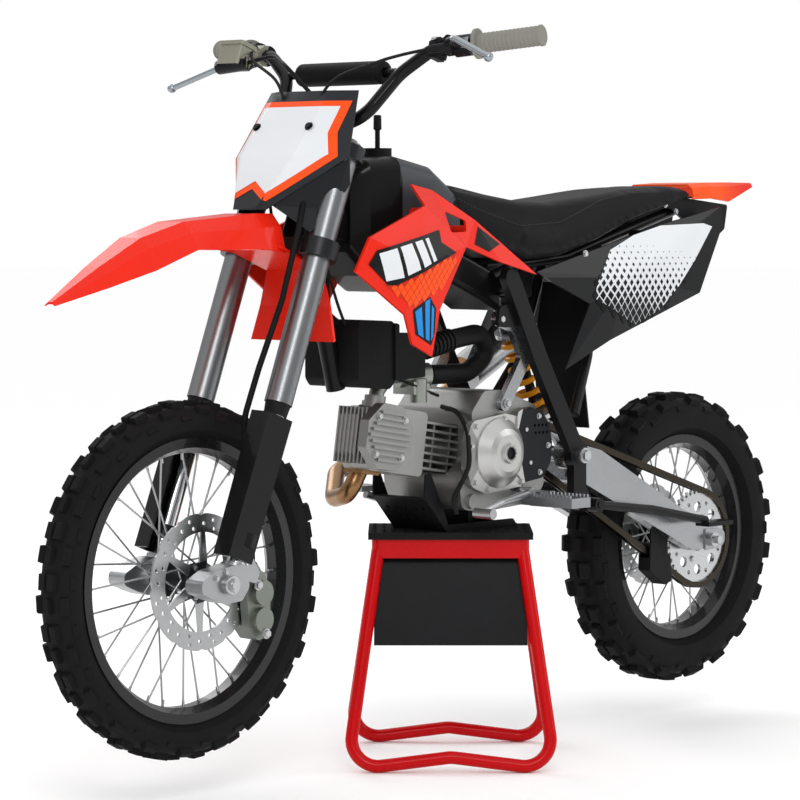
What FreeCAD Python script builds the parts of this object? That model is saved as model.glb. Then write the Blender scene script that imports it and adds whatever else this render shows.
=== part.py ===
import FreeCAD
import Part
import Sketcher
import math
import os

# Small dirt bike with a 17 inch front and a 14 inch rear wheel, held up by a red paddock stand.
# +X is forward, +Y is the rider's left, +Z is up. The floor is z = 0 and the tyres set x = 0.

doc = FreeCAD.newDocument("dirt_bike")
sheet = doc.addObject("Spreadsheet::Sheet", "sizes")


class Size:
    """A size of the bike: its number, and the words that bind a property to the sheet."""

    def __init__(self, value, words):
        self.value = float(value)
        self.words = words

    def __float__(self):
        return self.value

    def __add__(self, other):
        return Size(self.value + float(other), "(%s + %s)" % (self.words, spelled(other)))

    def __radd__(self, other):
        return self + other

    def __sub__(self, other):
        return Size(self.value - float(other), "(%s - %s)" % (self.words, spelled(other)))

    def __rsub__(self, other):
        return Size(float(other) - self.value, "(%s - %s)" % (spelled(other), self.words))

    def __mul__(self, other):
        return Size(self.value * float(other), "(%s * %s)" % (self.words, spelled(other)))

    def __rmul__(self, other):
        return self * other

    def __truediv__(self, other):
        return Size(self.value / float(other), "(%s / %s)" % (self.words, spelled(other)))

    def __neg__(self):
        return Size(-self.value, "(0 - %s)" % self.words)


def spelled(number):
    return number.words if isinstance(number, Size) else repr(number)


ROW = [0]


def size(alias, value):
    """Puts one driving size in the sheet and gives it back."""
    ROW[0] += 1
    sheet.set("A%d" % ROW[0], alias)
    sheet.set("B%d" % ROW[0], str(value))
    sheet.setAlias("B%d" % ROW[0], alias)
    return Size(value, "sizes." + alias)


# Hard points
pivot_x = size("pivot_x", -237)
pivot_z = size("pivot_z", 519)
front_reach = size("front_reach", 855)
swing_reach = size("swing_reach", 399)
front_axle_z = size("front_axle_z", 359)
rear_axle_z = size("rear_axle_z", 341)
rake = size("rake", 21)
fork_lead = size("fork_lead", 48.5)
fork_drop = size("fork_drop", 548)
crank_ahead = size("crank_ahead", 203)
crank_rise = size("crank_rise", 11)
front_x = pivot_x + front_reach
rear_x = pivot_x - swing_reach
crank_x = pivot_x + crank_ahead
crank_z = pivot_z + crank_rise

# Clearances
running_gap = size("running_gap", 0.3)
seat_gap = size("seat_gap", 0.3)
journal_gap = size("journal_gap", 0.05)
press_gap = size("press_gap", 0.01)
face_gap = size("face_gap", 0.1)

# Widths, from the engine outwards
engine_half = size("engine_half", 88)
leg_gap = size("leg_gap", 12)
leg_width = size("leg_width", 16)
arm_gap = size("arm_gap", 2)
arm_width = size("arm_width", 22)
chain_inset = size("chain_inset", 11)
leg_in = engine_half + leg_gap
leg_out = leg_in + leg_width
arm_out = leg_in - arm_gap
arm_in = arm_out - arm_width
chain_y = arm_in - chain_inset


def vec(x, y, z):
    return FreeCAD.Vector(float(x), float(y), float(z))


X_AXIS = vec(1, 0, 0)
Y_AXIS = vec(0, 1, 0)
Z_AXIS = vec(0, 0, 1)
ORIGIN = vec(0, 0, 0)
LEVEL = FreeCAD.Rotation()

# Each group is drawn about its own datum and then set in place: the chassis and bodywork about
# the swingarm pivot, the engine about its crankshaft, and what steers about the lower clamp.
slope = math.radians(float(rake))
steer_x = float(front_x) - float(fork_lead) * math.cos(slope) - float(fork_drop) * math.sin(slope)
steer_z = float(front_axle_z) - float(fork_lead) * math.sin(slope)
steer_z += float(fork_drop) * math.cos(slope)
STEERING = FreeCAD.Placement(vec(steer_x, 0, steer_z), FreeCAD.Rotation(Y_AXIS, -float(rake)))
fender_tilt = size("fender_tilt", 21)
COWLING = STEERING.multiply(FreeCAD.Placement(ORIGIN, FreeCAD.Rotation(Y_AXIS, float(fender_tilt))))
CHASSIS = FreeCAD.Placement(vec(pivot_x, 0, pivot_z), LEVEL)
ENGINE = FreeCAD.Placement(vec(crank_x, 0, crank_z), LEVEL)

nodes = []


def placed(shape, frame):
    """A shape drawn about a group's datum, stood in its place on the bike."""
    moved = shape.copy()
    moved.Placement = frame.multiply(moved.Placement)
    return moved


def keep(name, shape, frame=None):
    """Adds a piece whose shape is worked out here as one object of the document."""
    piece = doc.addObject("Part::Feature", name)
    piece.Label = name
    piece.Shape = placed(shape, frame) if frame is not None else shape
    nodes.append(piece)
    return piece.Shape


def mirrored(shape):
    return shape.mirror(ORIGIN, Y_AXIS)


def both(shape):
    return Part.makeCompound([shape, mirrored(shape)])


def fused(shapes):
    shapes = list(shapes)
    joined = shapes[0].multiFuse(shapes[1:]) if len(shapes) > 1 else shapes[0]
    return joined.removeSplitter()


def box(x0, x1, y0, y1, z0, z1):
    return Part.makeBox(float(x1) - float(x0), float(y1) - float(y0), float(z1) - float(z0),
                        vec(x0, y0, z0))


def rod(start, end, radius):
    way = end - start
    return Part.makeCylinder(float(radius), way.Length, start, way)


def across(x, z, y0, y1, radius):
    """A round bar that lies along Y."""
    return Part.makeCylinder(float(radius), float(y1) - float(y0), vec(x, y0, z), Y_AXIS)


def path_wire(points, bend):
    """Straight runs joined by arcs of one bend radius."""
    edges = []
    last = points[0]
    for before, corner, after in zip(points, points[1:], points[2:]):
        back = (before - corner).normalize()
        on = (after - corner).normalize()
        half = back.getAngle(on) / 2
        reach = bend / math.tan(half)
        reach = min(reach, 0.48 * (before - corner).Length, 0.48 * (after - corner).Length)
        radius = reach * math.tan(half)
        first = corner + back * reach
        final = corner + on * reach
        centre = corner + (back + on).normalize() * (radius / math.sin(half))
        middle = centre + (corner - centre).normalize() * radius
        edges.append(Part.LineSegment(last, first).toShape())
        edges.append(Part.Arc(first, middle, final).toShape())
        last = final
    edges.append(Part.LineSegment(last, points[-1]).toShape())
    return Part.Wire(edges)


def pipe(points, radius, bend=40.0):
    """A round tube or bar along bent runs."""
    points = [vec(*p) for p in points]
    wire = path_wire(points, bend)
    ring = Part.Wire([Part.makeCircle(float(radius), points[0], points[1] - points[0])])
    return wire.makePipeShell([ring], True, True)


def strap(points, width, y0, y1, bend=30.0):
    """A flat bar with round ends that follows bent runs seen from the side."""
    wire = path_wire([vec(x, y0, z) for x, z in points], bend)
    ring = wire.makeOffset2D(float(width) / 2, 0, False, False)
    return Part.Face(ring).extrude(vec(0, float(y1) - float(y0), 0))


def outline_wire(points, radius, lift):
    """A closed outline of straight edges with rounded corners, each point through lift."""
    flat = [FreeCAD.Vector(float(a), float(b), 0) for a, b in points]
    count = len(flat)
    edges = []
    starts = []
    ends = []
    middles = []
    for i in range(count):
        before, corner, after = flat[i - 1], flat[i], flat[(i + 1) % count]
        back = (before - corner)
        on = (after - corner)
        room = 0.45 * min(back.Length, on.Length)
        back.normalize()
        on.normalize()
        half = back.getAngle(on) / 2
        reach = min(radius / math.tan(half), room) if half < 1.55 else 0.0
        bend = reach * math.tan(half)
        starts.append(corner + back * reach)
        ends.append(corner + on * reach)
        if reach > 0.01:
            centre = corner + (back + on).normalize() * (bend / math.sin(half))
            middles.append(centre + (corner - centre).normalize() * bend)
        else:
            middles.append(None)
    for i in range(count):
        if middles[i] is not None:
            edges.append(Part.Arc(lift(starts[i]), lift(middles[i]), lift(ends[i])).toShape())
        follow = (i + 1) % count
        edges.append(Part.LineSegment(lift(ends[i]), lift(starts[follow])).toShape())
    return Part.Wire(edges)


def side_plate(points, y0, y1, radius=6.0):
    """A plate whose outline is seen from the side, from y0 to y1."""
    wire = outline_wire(points, radius, lambda p: FreeCAD.Vector(p.x, float(y0), p.y))
    return Part.Face(wire).extrude(vec(0, float(y1) - float(y0), 0))


def floor_plate(points, z0, z1, radius=6.0):
    """A plate whose outline is seen from above, from z0 to z1."""
    wire = outline_wire(points, radius, lambda p: FreeCAD.Vector(p.x, p.y, float(z0)))
    return Part.Face(wire).extrude(vec(0, 0, float(z1) - float(z0)))


def turned_profile(points, centre, axis=Y_AXIS, angle=360.0):
    """A ring or shaft: an outline of (along the axis, radius) turned about it."""
    up = Z_AXIS if axis != Z_AXIS else X_AXIS
    corners = [centre + axis * float(a) + up * float(b) for a, b in points]
    return Part.Face(Part.makePolygon(corners + corners[:1])).revolve(centre, axis, angle)


def section(x, half_width, low, high, corner):
    """A rounded cross section of bodywork at one x."""
    outline = [(-half_width, low), (half_width, low), (half_width, high), (-half_width, high)]
    return outline_wire(outline, corner, lambda p: FreeCAD.Vector(float(x), p.x, p.y))


def polygon(corners):
    return Part.makePolygon(list(corners) + [corners[0]])


def moulded(sections):
    """Bodywork with flat faces between cross sections that each have as many corners."""
    return Part.makeLoft([polygon([vec(*p) for p in corners]) for corners in sections], True, True)


def panel(corners, facets, wall):
    """A moulded side panel: flat facets between a few corners, one wall thick across the bike."""
    outer = [vec(*c) for c in corners]
    inner = [p - vec(0, wall, 0) for p in outer]
    faces = []
    rim_edges = {}
    for facet in facets:
        faces.append(Part.Face(polygon([outer[i] for i in facet])))
        faces.append(Part.Face(polygon([inner[i] for i in facet])))
        for a, b in zip(facet, facet[1:] + facet[:1]):
            key = (min(a, b), max(a, b))
            rim_edges[key] = rim_edges.get(key, 0) + 1
    for (a, b), uses in rim_edges.items():
        if uses == 1:
            faces.append(Part.Face(polygon([outer[a], outer[b], inner[b], inner[a]])))
    shell = Part.makeShell(faces)
    shell.sewShape()
    solid = Part.makeSolid(shell)
    return solid if solid.Volume > 0 else solid.reversed()


def spun(shape, angle, centre, axis=Y_AXIS):
    moved = shape.copy()
    moved.rotate(centre, axis, angle)
    return moved


def ringed(shape, count, first=0.0):
    """Copies of a shape set evenly round the Y axis."""
    return [spun(shape, first + 360.0 * i / count, ORIGIN) for i in range(count)]


def edges_rounded(shape, radius, pick):
    """Rounds the edges for which pick says yes."""
    return shape.makeFillet(float(radius), [e for e in shape.Edges if pick(e)])


def bind(piece, **properties):
    for name, value in properties.items():
        if isinstance(value, Size):
            piece.setExpression(name.replace("__", "."), value.words)
        else:
            setattr(piece, name, value)


def origin_plane(body, role):
    for feature in body.Origin.OriginFeatures:
        if feature.Role == role:
            return feature


def sketched(body, name, plane, points):
    """An outline whose corners are held by sizes measured from the body's origin."""
    sketch = body.newObject("Sketcher::SketchObject", name)
    sketch.AttachmentSupport = [(origin_plane(body, plane), "")]
    sketch.MapMode = "FlatFace"
    count = len(points)
    for i in range(count):
        a = points[i]
        b = points[(i + 1) % count]
        sketch.addGeometry(Part.LineSegment(vec(a[0], a[1], 0), vec(b[0], b[1], 0)), False)
    for i in range(count):
        sketch.addConstraint(Sketcher.Constraint("Coincident", i, 2, (i + 1) % count, 1))
    for i in range(count):
        for kind, value in (("DistanceX", points[i][0]), ("DistanceY", points[i][1])):
            at = sketch.addConstraint(Sketcher.Constraint(kind, -1, 1, i, 1, float(value)))
            if isinstance(value, Size):
                sketch.setExpression("Constraints[%d]" % at, value.words)
    return sketch


def set_in_place(body, x, y, z):
    for axis, value in (("x", x), ("y", y), ("z", z)):
        bind(body, **{"Placement__Base__" + axis: value if isinstance(value, Size)
                      else Size(value, repr(float(value)))})


def turned_body(name, points, x, y, z, kept=True):
    """A turned piece: an outline of (y, radius) about a line across the bike."""
    body = doc.addObject("PartDesign::Body", name)
    body.Label = name
    sketch = sketched(body, name + "_outline", "YZ_Plane", points)
    turn = body.newObject("PartDesign::Revolution", name + "_turned")
    turn.Profile = sketch
    turn.ReferenceAxis = (sketch, ["H_Axis"])
    turn.Angle = 360
    set_in_place(body, x, y, z)
    if kept:
        nodes.append(body)
    return body


# Wheels
# Each wheel is a knobby tyre on a spoked alloy rim, with a hub that turns on its axle.
front_tyre_radius = size("front_tyre_radius", 288)
rear_tyre_radius = size("rear_tyre_radius", 270)
front_tyre_half = size("front_tyre_half", 36)
rear_tyre_half = size("rear_tyre_half", 47)
front_flange_radius = size("front_flange_radius", 229)
rear_flange_radius = size("rear_flange_radius", 191)
flange_height = size("flange_height", 13)
front_rim_half = size("front_rim_half", 25)
rear_rim_half = size("rear_rim_half", 29)
rim_wall = size("rim_wall", 3)
rim_well = size("rim_well", 9)
front_lug_height = size("front_lug_height", 9)
rear_lug_height = size("rear_lug_height", 11)
front_lug_rows = size("front_lug_rows", 22)
rear_lug_rows = size("rear_lug_rows", 19)
spoke_count = size("spoke_count", 32)
spoke_radius = size("spoke_radius", 1.6)
spoke_lean = size("spoke_lean", 62)
spoke_seat = size("spoke_seat", 0.5)
hub_radius = size("hub_radius", 19)
spoke_flange_radius = size("spoke_flange_radius", 29)
hub_flange_half = size("hub_flange_half", 27)
hub_flange_width = size("hub_flange_width", 4)
hub_half = size("hub_half", 44)
hub_face_radius = size("hub_face_radius", 30)
front_axle_radius = size("front_axle_radius", 7.5)
rear_axle_radius = size("rear_axle_radius", 7.5)
spacer_radius = size("spacer_radius", 13)
disc_thickness = size("disc_thickness", 3.5)
disc_gap = size("disc_gap", 3)
front_disc_radius = size("front_disc_radius", 110)
rear_disc_radius = size("rear_disc_radius", 95)
disc_band = size("disc_band", 30)
disc_arms = 6


def tyre(name, centre, radius, half, flange_radius, rim_half, lug_height, rows):
    """Flat facets between the rows of lugs, so that many rows stay light."""
    radius, half, lug, rows = float(radius), float(half), float(lug_height), int(float(rows))
    base = radius - lug
    pitch = 360.0 / rows
    out = 1 / math.cos(math.radians(pitch / 2))
    seat = (float(flange_radius) - float(flange_height) + float(seat_gap)) * out
    bead = float(rim_half) - float(rim_wall) - float(seat_gap)
    rim_edge = (float(flange_radius) + float(seat_gap)) * out
    side = [(bead, seat), (bead, rim_edge), (half - 1, base - 26), (0.72 * half, base - 7),
            (0.36 * half, base)]
    outline = [(-a, b) for a, b in reversed(side)] + side
    first = [vec(0, a, b) for a, b in outline]
    turn = FreeCAD.Rotation(Y_AXIS, pitch)
    last = [turn.multVec(p) for p in first]
    faces = [Part.Face(polygon(first)), Part.Face(polygon(last))]
    for i in range(len(first)):
        faces.append(Part.Face(polygon([first[i - 1], first[i], last[i], last[i - 1]])))
    sector = Part.makeSolid(Part.makeShell(faces))
    along = math.radians(pitch) * radius * 0.32
    lugs = []
    for sign in (1, -1):
        y0, y1 = sorted((sign * 0.06 * half, sign * 0.46 * half))
        lugs.append(spun(box(-along / 2, along / 2, y0, y1, base - 6, radius), 0.27 * pitch,
                         ORIGIN))
        block = box(-along / 2, along / 2, -0.19 * half, 0.19 * half, -8, lug)
        block.rotate(ORIGIN, X_AXIS, -sign * 42)
        block.translate(vec(0, sign * 0.80 * half, base - 14))
        lugs.append(spun(block, 0.73 * pitch, ORIGIN))
    sector = fused([sector] + lugs)
    end_normal = turn.multVec(X_AXIS)
    skin = []
    for face in sector.Faces:
        flat_start = all(abs(v.Point.dot(X_AXIS)) < 1e-6 for v in face.Vertexes)
        flat_end = all(abs(v.Point.dot(end_normal)) < 1e-6 for v in face.Vertexes)
        if not flat_start and not flat_end:
            skin.append(face)
    shell = Part.makeShell([spun(face, i * pitch, ORIGIN) for i in range(rows) for face in skin])
    shell.sewShape()
    ring = Part.makeSolid(shell)
    ring.translate(centre)
    return keep(name, ring)


def rim(name, x, z, flange_radius, rim_half):
    seat = flange_radius - flange_height
    well = seat - rim_well
    inner = rim_half - rim_wall
    points = [(-rim_half, flange_radius), (-inner, flange_radius), (-inner, seat),
              (-(rim_half * 0.45), seat), (-(rim_half * 0.36), well), (rim_half * 0.36, well),
              (rim_half * 0.45, seat), (inner, seat), (inner, flange_radius),
              (rim_half, flange_radius), (rim_half, seat - rim_wall),
              (rim_half * 0.42, well - rim_wall), (-(rim_half * 0.42), well - rim_wall),
              (-rim_half, seat - rim_wall)]
    return turned_body(name, points, x, 0, z)


def hub(name, centre, axle_radius, flange_radius):
    """The hub shell with its spokes, which end on the rim's inside."""
    bore = float(axle_radius) + float(journal_gap)
    half, end = float(hub_flange_half), float(hub_half)
    lip, flange = float(hub_flange_width), float(spoke_flange_radius)
    face, core = float(hub_face_radius), float(hub_radius)
    waist = (core + flange) / 2
    outline = [(-end, bore), (-end, face), (-end + 6, face), (-end + 6, waist),
               (-half - lip, flange), (-half, flange), (-half + 3, core), (half - 3, core),
               (half, flange), (half + lip, flange), (end - 6, waist), (end - 6, face),
               (end, face), (end, bore)]
    shell = turned_profile(outline, ORIGIN)
    rim_inner = flange_radius - flange_height - rim_well - rim_wall - spoke_seat
    count = int(float(spoke_count))
    spokes = []
    for i in range(count):
        sign = 1 if i % 2 == 0 else -1
        lean = float(spoke_lean) * (1 if (i // 2) % 2 == 0 else -1)
        at_rim = math.radians(360.0 * i / count)
        at_hub = at_rim + math.radians(lean)
        y_hub = sign * (half + lip * (0.8 if lean > 0 else 0.2))
        start = vec((flange - 3) * math.cos(at_hub), y_hub, (flange - 3) * math.sin(at_hub))
        end_point = vec(float(rim_inner) * math.cos(at_rim), sign * lip * 0.75,
                        float(rim_inner) * math.sin(at_rim))
        spokes.append(rod(start, end_point, spoke_radius))
    whole = fused([shell] + spokes)
    whole.translate(centre)
    return keep(name, whole)


def disc(name, centre, outer, y0):
    """A petal brake disc with two rows of round holes, on six arms."""
    outer, thick, petals = float(outer), float(disc_thickness), 12
    inner, boss = outer - float(disc_band), float(hub_face_radius)
    bolt_circle = boss - 6
    ring = Part.Face(Part.Wire([Part.makeCircle(outer, ORIGIN, Y_AXIS)]))
    cuts = [Part.Face(Part.Wire([Part.makeCircle(inner, ORIGIN, Y_AXIS)]))]
    for i in range(petals):
        for radius, reach, turn in ((16, outer + 13.5, 0), (3.4, outer - 9, 0.5),
                                    (3.4, outer - 16, 0.1), (3.4, outer - 22, 0.62)):
            angle = 2 * math.pi * (i + turn) / petals
            at = vec(reach * math.cos(angle), 0, reach * math.sin(angle))
            cuts.append(Part.Face(Part.Wire([Part.makeCircle(radius, at, Y_AXIS)])))
    band = ring.cut(cuts).extrude(vec(0, thick, 0))
    arm = side_plate([(bolt_circle, -9), (inner + 6, -16), (inner + 6, -8),
                      (bolt_circle + 12, 6), (bolt_circle, 7)], 0, thick, 2)
    centre_ring = turned_profile([(0, boss - 12), (0, boss + 2), (thick, boss + 2),
                                  (thick, boss - 12)], ORIGIN)
    whole = fused([band, centre_ring] + ringed(arm, disc_arms, 20))
    whole.translate(centre + vec(0, y0, 0))
    return keep(name, whole)


FRONT = vec(front_x, 0, front_axle_z)
REAR = vec(rear_x, 0, rear_axle_z)

tyre("front_tyre", FRONT, front_tyre_radius, front_tyre_half, front_flange_radius,
     front_rim_half, front_lug_height, front_lug_rows)
tyre("rear_tyre", REAR, rear_tyre_radius, rear_tyre_half, rear_flange_radius,
     rear_rim_half, rear_lug_height, rear_lug_rows)
rim("front_rim", front_x, front_axle_z, front_flange_radius, front_rim_half)
rim("rear_rim", rear_x, rear_axle_z, rear_flange_radius, rear_rim_half)
hub("front_hub", FRONT, front_axle_radius, front_flange_radius)
hub("rear_hub", REAR, rear_axle_radius, rear_flange_radius)
disc("front_disc", FRONT, front_disc_radius, hub_half)
disc("rear_disc", REAR, rear_disc_radius, -hub_half - disc_thickness)

# Chain drive
# Both sprockets are cut from one pitch; the chain's plates and rollers follow its pitch line.
sprocket_teeth = size("sprocket_teeth", 43)
drive_teeth = size("drive_teeth", 14)
chain_pitch = size("chain_pitch", 12.7)
roller_radius = size("roller_radius", 3.9)
plate_half_height = size("plate_half_height", 5.5)
plate_thickness = size("plate_thickness", 3.5)
plate_gap = size("plate_gap", 0.5)
sprocket_thickness = size("sprocket_thickness", 6)
sprocket_bore = size("sprocket_bore", 24)
drive_back = size("drive_back", 86)
drive_rise = size("drive_rise", 36)
output_shaft_radius = size("output_shaft_radius", 8.5)
sprocket_y0 = chain_y - sprocket_thickness / 2
DRIVE = vec(crank_x - drive_back, 0, crank_z + drive_rise)


def pitch_radius(teeth):
    return float(chain_pitch) / (2 * math.sin(math.pi / float(teeth)))


def sprocket(teeth, thickness, bore):
    """A chain wheel: a round gullet for a roller between each two teeth."""
    teeth = int(float(teeth))
    radius, seat = pitch_radius(teeth), float(roller_radius) + 0.2
    blank = Part.Face(Part.Wire([Part.makeCircle(radius + seat - 0.5, ORIGIN, Y_AXIS)]))
    cuts = [Part.Face(Part.Wire([Part.makeCircle(float(bore), ORIGIN, Y_AXIS)]))]
    for i in range(teeth):
        angle = 2 * math.pi * i / teeth
        at = vec(radius * math.cos(angle), 0, radius * math.sin(angle))
        out = vec(math.cos(angle), 0, math.sin(angle))
        side = vec(-math.sin(angle), 0, math.cos(angle))
        cuts.append(Part.Face(Part.Wire([Part.makeCircle(seat, at, Y_AXIS)])))
        cuts.append(Part.Face(polygon([at + side * seat, at - side * seat,
                                       at - side * (seat + 1.1) + out * 6,
                                       at + side * (seat + 1.1) + out * 6])))
    return blank.cut(cuts).extrude(vec(0, thickness, 0))


rear_blank = sprocket(sprocket_teeth, sprocket_thickness, sprocket_bore)
hole_circle = (pitch_radius(sprocket_teeth) + float(hub_face_radius)) / 2
large_hole = across(hole_circle, 0, -1, float(sprocket_thickness) + 1, 10)
small_hole = across(hole_circle + 9, 0, -1, float(sprocket_thickness) + 1, 4)
rear_blank = rear_blank.cut(ringed(large_hole, 8) + ringed(small_hole, 8, 22.5))
carrier = turned_profile([(hub_half - sprocket_y0, sprocket_bore / 2),
                          (hub_half - sprocket_y0, hub_face_radius + 4), (0, hub_face_radius + 4),
                          (0, sprocket_bore / 2)], ORIGIN)
wheel_sprocket = fused([rear_blank, carrier])
wheel_sprocket.translate(REAR + vec(0, sprocket_y0, 0))
keep("rear_sprocket", wheel_sprocket)
drive_blank = sprocket(drive_teeth, sprocket_thickness, float(output_shaft_radius) - 0.5)
drive_blank.translate(DRIVE + vec(0, sprocket_y0, 0))

run = REAR - DRIVE
span = run.Length
run.normalize()
upward = Y_AXIS.cross(run) if Y_AXIS.cross(run).z > 0 else run.cross(Y_AXIS)
wrap = math.asin((pitch_radius(sprocket_teeth) - pitch_radius(drive_teeth)) / span)


def chain_loop(offset, wheel_steps=12, drive_steps=4):
    """The loop at a distance from its pitch line, flat from link to link round the sprockets."""
    corners = []
    for centre, teeth, steps, side in ((REAR, sprocket_teeth, wheel_steps, 1),
                                       (DRIVE, drive_teeth, drive_steps, -1)):
        half_turn = math.pi / 2 + side * wrap
        radius = (pitch_radius(teeth) + offset) / math.cos(half_turn / steps)
        for i in range(steps + 1):
            angle = side * half_turn * (1 - 2 * i / steps)
            corners.append(centre + run * (side * radius * math.cos(angle))
                           + upward * (radius * math.sin(angle)))
    return Part.Wire(polygon(corners))


def chain_side(y0):
    band = Part.Face(chain_loop(float(plate_half_height)))
    band = band.cut(Part.Face(chain_loop(-float(plate_half_height))))
    band = band.extrude(vec(0, plate_thickness, 0))
    band.translate(vec(0, y0, 0))
    return band


link_gap = sprocket_thickness / 2 + plate_gap
links = [chain_side(chain_y + link_gap), chain_side(chain_y - link_gap - plate_thickness)]
for sign in (1, -1):
    normal = upward * (sign * math.cos(wrap)) - run * math.sin(wrap)
    first = DRIVE + normal * pitch_radius(drive_teeth)
    line = REAR + normal * pitch_radius(sprocket_teeth) - first
    steps = int(line.Length / float(chain_pitch))
    line.normalize()
    for i in range(3, steps - 3):
        at = first + line * (i * float(chain_pitch))
        side = float(roller_radius) * 0.75
        corners = [at + line * side + normal * side, at + line * side - normal * side,
                   at - line * side - normal * side, at - line * side + normal * side]
        reach = float(link_gap) + 0.5
        pin = Part.Face(polygon(corners)).extrude(vec(0, 2 * reach, 0))
        pin.translate(vec(0, float(chain_y) - reach, 0))
        links.append(pin)
keep("chain", fused(links))

# Front axle and fork
# An inverted fork: wide tubes above, slim chromed legs and cast shoes below.
fork_half_spacing = size("fork_half_spacing", 90)
fork_offset = size("fork_offset", 28)
upper_tube_radius = size("upper_tube_radius", 23)
lower_tube_radius = size("lower_tube_radius", 16.5)
upper_tube_drop = size("upper_tube_drop", 240)
wiper_height = size("wiper_height", 20)
lower_clamp_rise = size("lower_clamp_rise", 8)
clamp_thickness = size("clamp_thickness", 30)
clamp_wall = size("clamp_wall", 9)
top_clamp_rise = size("top_clamp_rise", 180)
top_clamp_thickness = size("top_clamp_thickness", 24)
stem_radius = size("stem_radius", 14)
head_tube_radius = size("head_tube_radius", 24)
shoe_half = size("shoe_half", 19)
leg_sink = size("leg_sink", 18)
axle_tail = size("axle_tail", 17)
nut_radius = size("nut_radius", 12)
nut_width = size("nut_width", 9)

nut_in = fork_half_spacing + shoe_half + journal_gap
spacer_out = fork_half_spacing - shoe_half - face_gap
left_spacer_in = hub_half + disc_thickness + disc_gap
right_spacer_in = hub_half + running_gap
front_reach_y = fork_half_spacing + shoe_half + axle_tail


def axle_outline(radius, reach, nut_in, nut_radius, nut_width, spacer_out, left_in, right_in):
    """Half the length section of an axle with its nut and spacer at each side."""
    outline = [(-reach, 0), (-reach, radius), (-(nut_in + nut_width), radius),
               (-(nut_in + nut_width), nut_radius), (-nut_in, nut_radius), (-nut_in, radius),
               (-spacer_out, radius), (-spacer_out, spacer_radius), (-right_in, spacer_radius),
               (-right_in, radius), (left_in, radius), (left_in, spacer_radius),
               (spacer_out, spacer_radius), (spacer_out, radius), (nut_in, radius),
               (nut_in, nut_radius), (nut_in + nut_width, nut_radius),
               (nut_in + nut_width, radius), (reach, radius), (reach, 0)]
    return outline


turned_body("front_axle", axle_outline(front_axle_radius, front_reach_y, nut_in, nut_radius,
                                       nut_width, spacer_out, left_spacer_in, right_spacer_in),
            front_x, 0, front_axle_z)

AXLE_LOCAL = vec(fork_lead, 0, -float(fork_drop))


def fork_leg(sign):
    half = sign * float(fork_half_spacing)
    upper, lower = float(upper_tube_radius), float(lower_tube_radius)
    drop = float(upper_tube_drop)
    wiper = drop + float(wiper_height)
    foot = -float(fork_drop) + float(leg_sink)
    top = float(top_clamp_rise) + float(top_clamp_thickness) + 6
    outline = [(foot, 0), (foot, lower), (-wiper, lower), (-wiper, upper - 4), (-drop, upper - 2),
               (-drop, upper), (top, upper), (top, upper - 5), (top + 5, upper - 7), (top + 5, 0)]
    tube = turned_profile(outline, vec(fork_offset, half, 0), Z_AXIS)
    shoe_outline = [(57, -13), (36, 10), (3, 31), (-27, 42), (-45, 11), (-38, -15), (-5, -30),
                    (20, -31), (51, -30)]
    shoe = side_plate(shoe_outline, half - float(shoe_half), half + float(shoe_half), 10)
    shoe.translate(AXLE_LOCAL)
    collar = Part.makeCylinder(float(shoe_half), 26, vec(fork_offset, half, foot - 4))
    leg = [tube, shoe, collar]
    if sign > 0:
        lug = side_plate([(-1, 54), (-43, 60), (-68, 40), (-67, 21), (-25, 18)],
                         half - float(shoe_half), half + 10, 6)
        lug.translate(AXLE_LOCAL)
        leg.append(lug)
    bore = across(float(fork_lead), -float(fork_drop), half - 30, half + 30,
                  float(front_axle_radius) + float(press_gap))
    return fused(leg).cut(bore)


keep("fork_left", fork_leg(1), STEERING)
keep("fork_right", fork_leg(-1), STEERING)

# Moulded guards that wrap the front and outside of the lower legs, each clamped round its leg
guard_top = -float(upper_tube_drop) - float(wiper_height) - 3
guard_foot = -float(fork_drop) + 44
guard = Part.makeLoft([
    polygon([vec(x, y, guard_top) for x, y in ((10, 114), (62, 110), (66, 74), (61, 74),
                                               (57, 105), (10, 109))]),
    polygon([vec(x, y, guard_foot) for x, y in ((14, 112), (66, 110), (70, 78), (65, 78),
                                                (61, 105), (14, 107))])], True, True)
guard_ring = Part.makeCylinder(float(lower_tube_radius) + 8, 22,
                               vec(fork_offset, fork_half_spacing, guard_foot + 24))
guard_bore = Part.makeCylinder(float(lower_tube_radius) + float(press_gap), 60,
                               vec(fork_offset, fork_half_spacing, guard_foot))
keep("fork_guards", both(fused([guard, guard_ring]).cut(guard_bore)), STEERING)


def clamp(z0, thickness):
    half = float(fork_half_spacing)
    offset, radius = float(fork_offset), float(upper_tube_radius)
    thickness = float(thickness)
    ears = [Part.makeCylinder(radius + float(clamp_wall), thickness, vec(offset, s * half, z0))
            for s in (1, -1)]
    web = floor_plate([(-26, -34), (offset + radius + 2, -half), (offset + radius - 4, 0),
                       (offset + radius + 2, half), (-26, 34)], z0, float(z0) + thickness, 10)
    bores = [Part.makeCylinder(radius + 2 * float(press_gap), thickness + 2,
                               vec(offset, s * half, float(z0) - 1)) for s in (1, -1)]
    return fused(ears + [web]).cut(bores)


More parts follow.
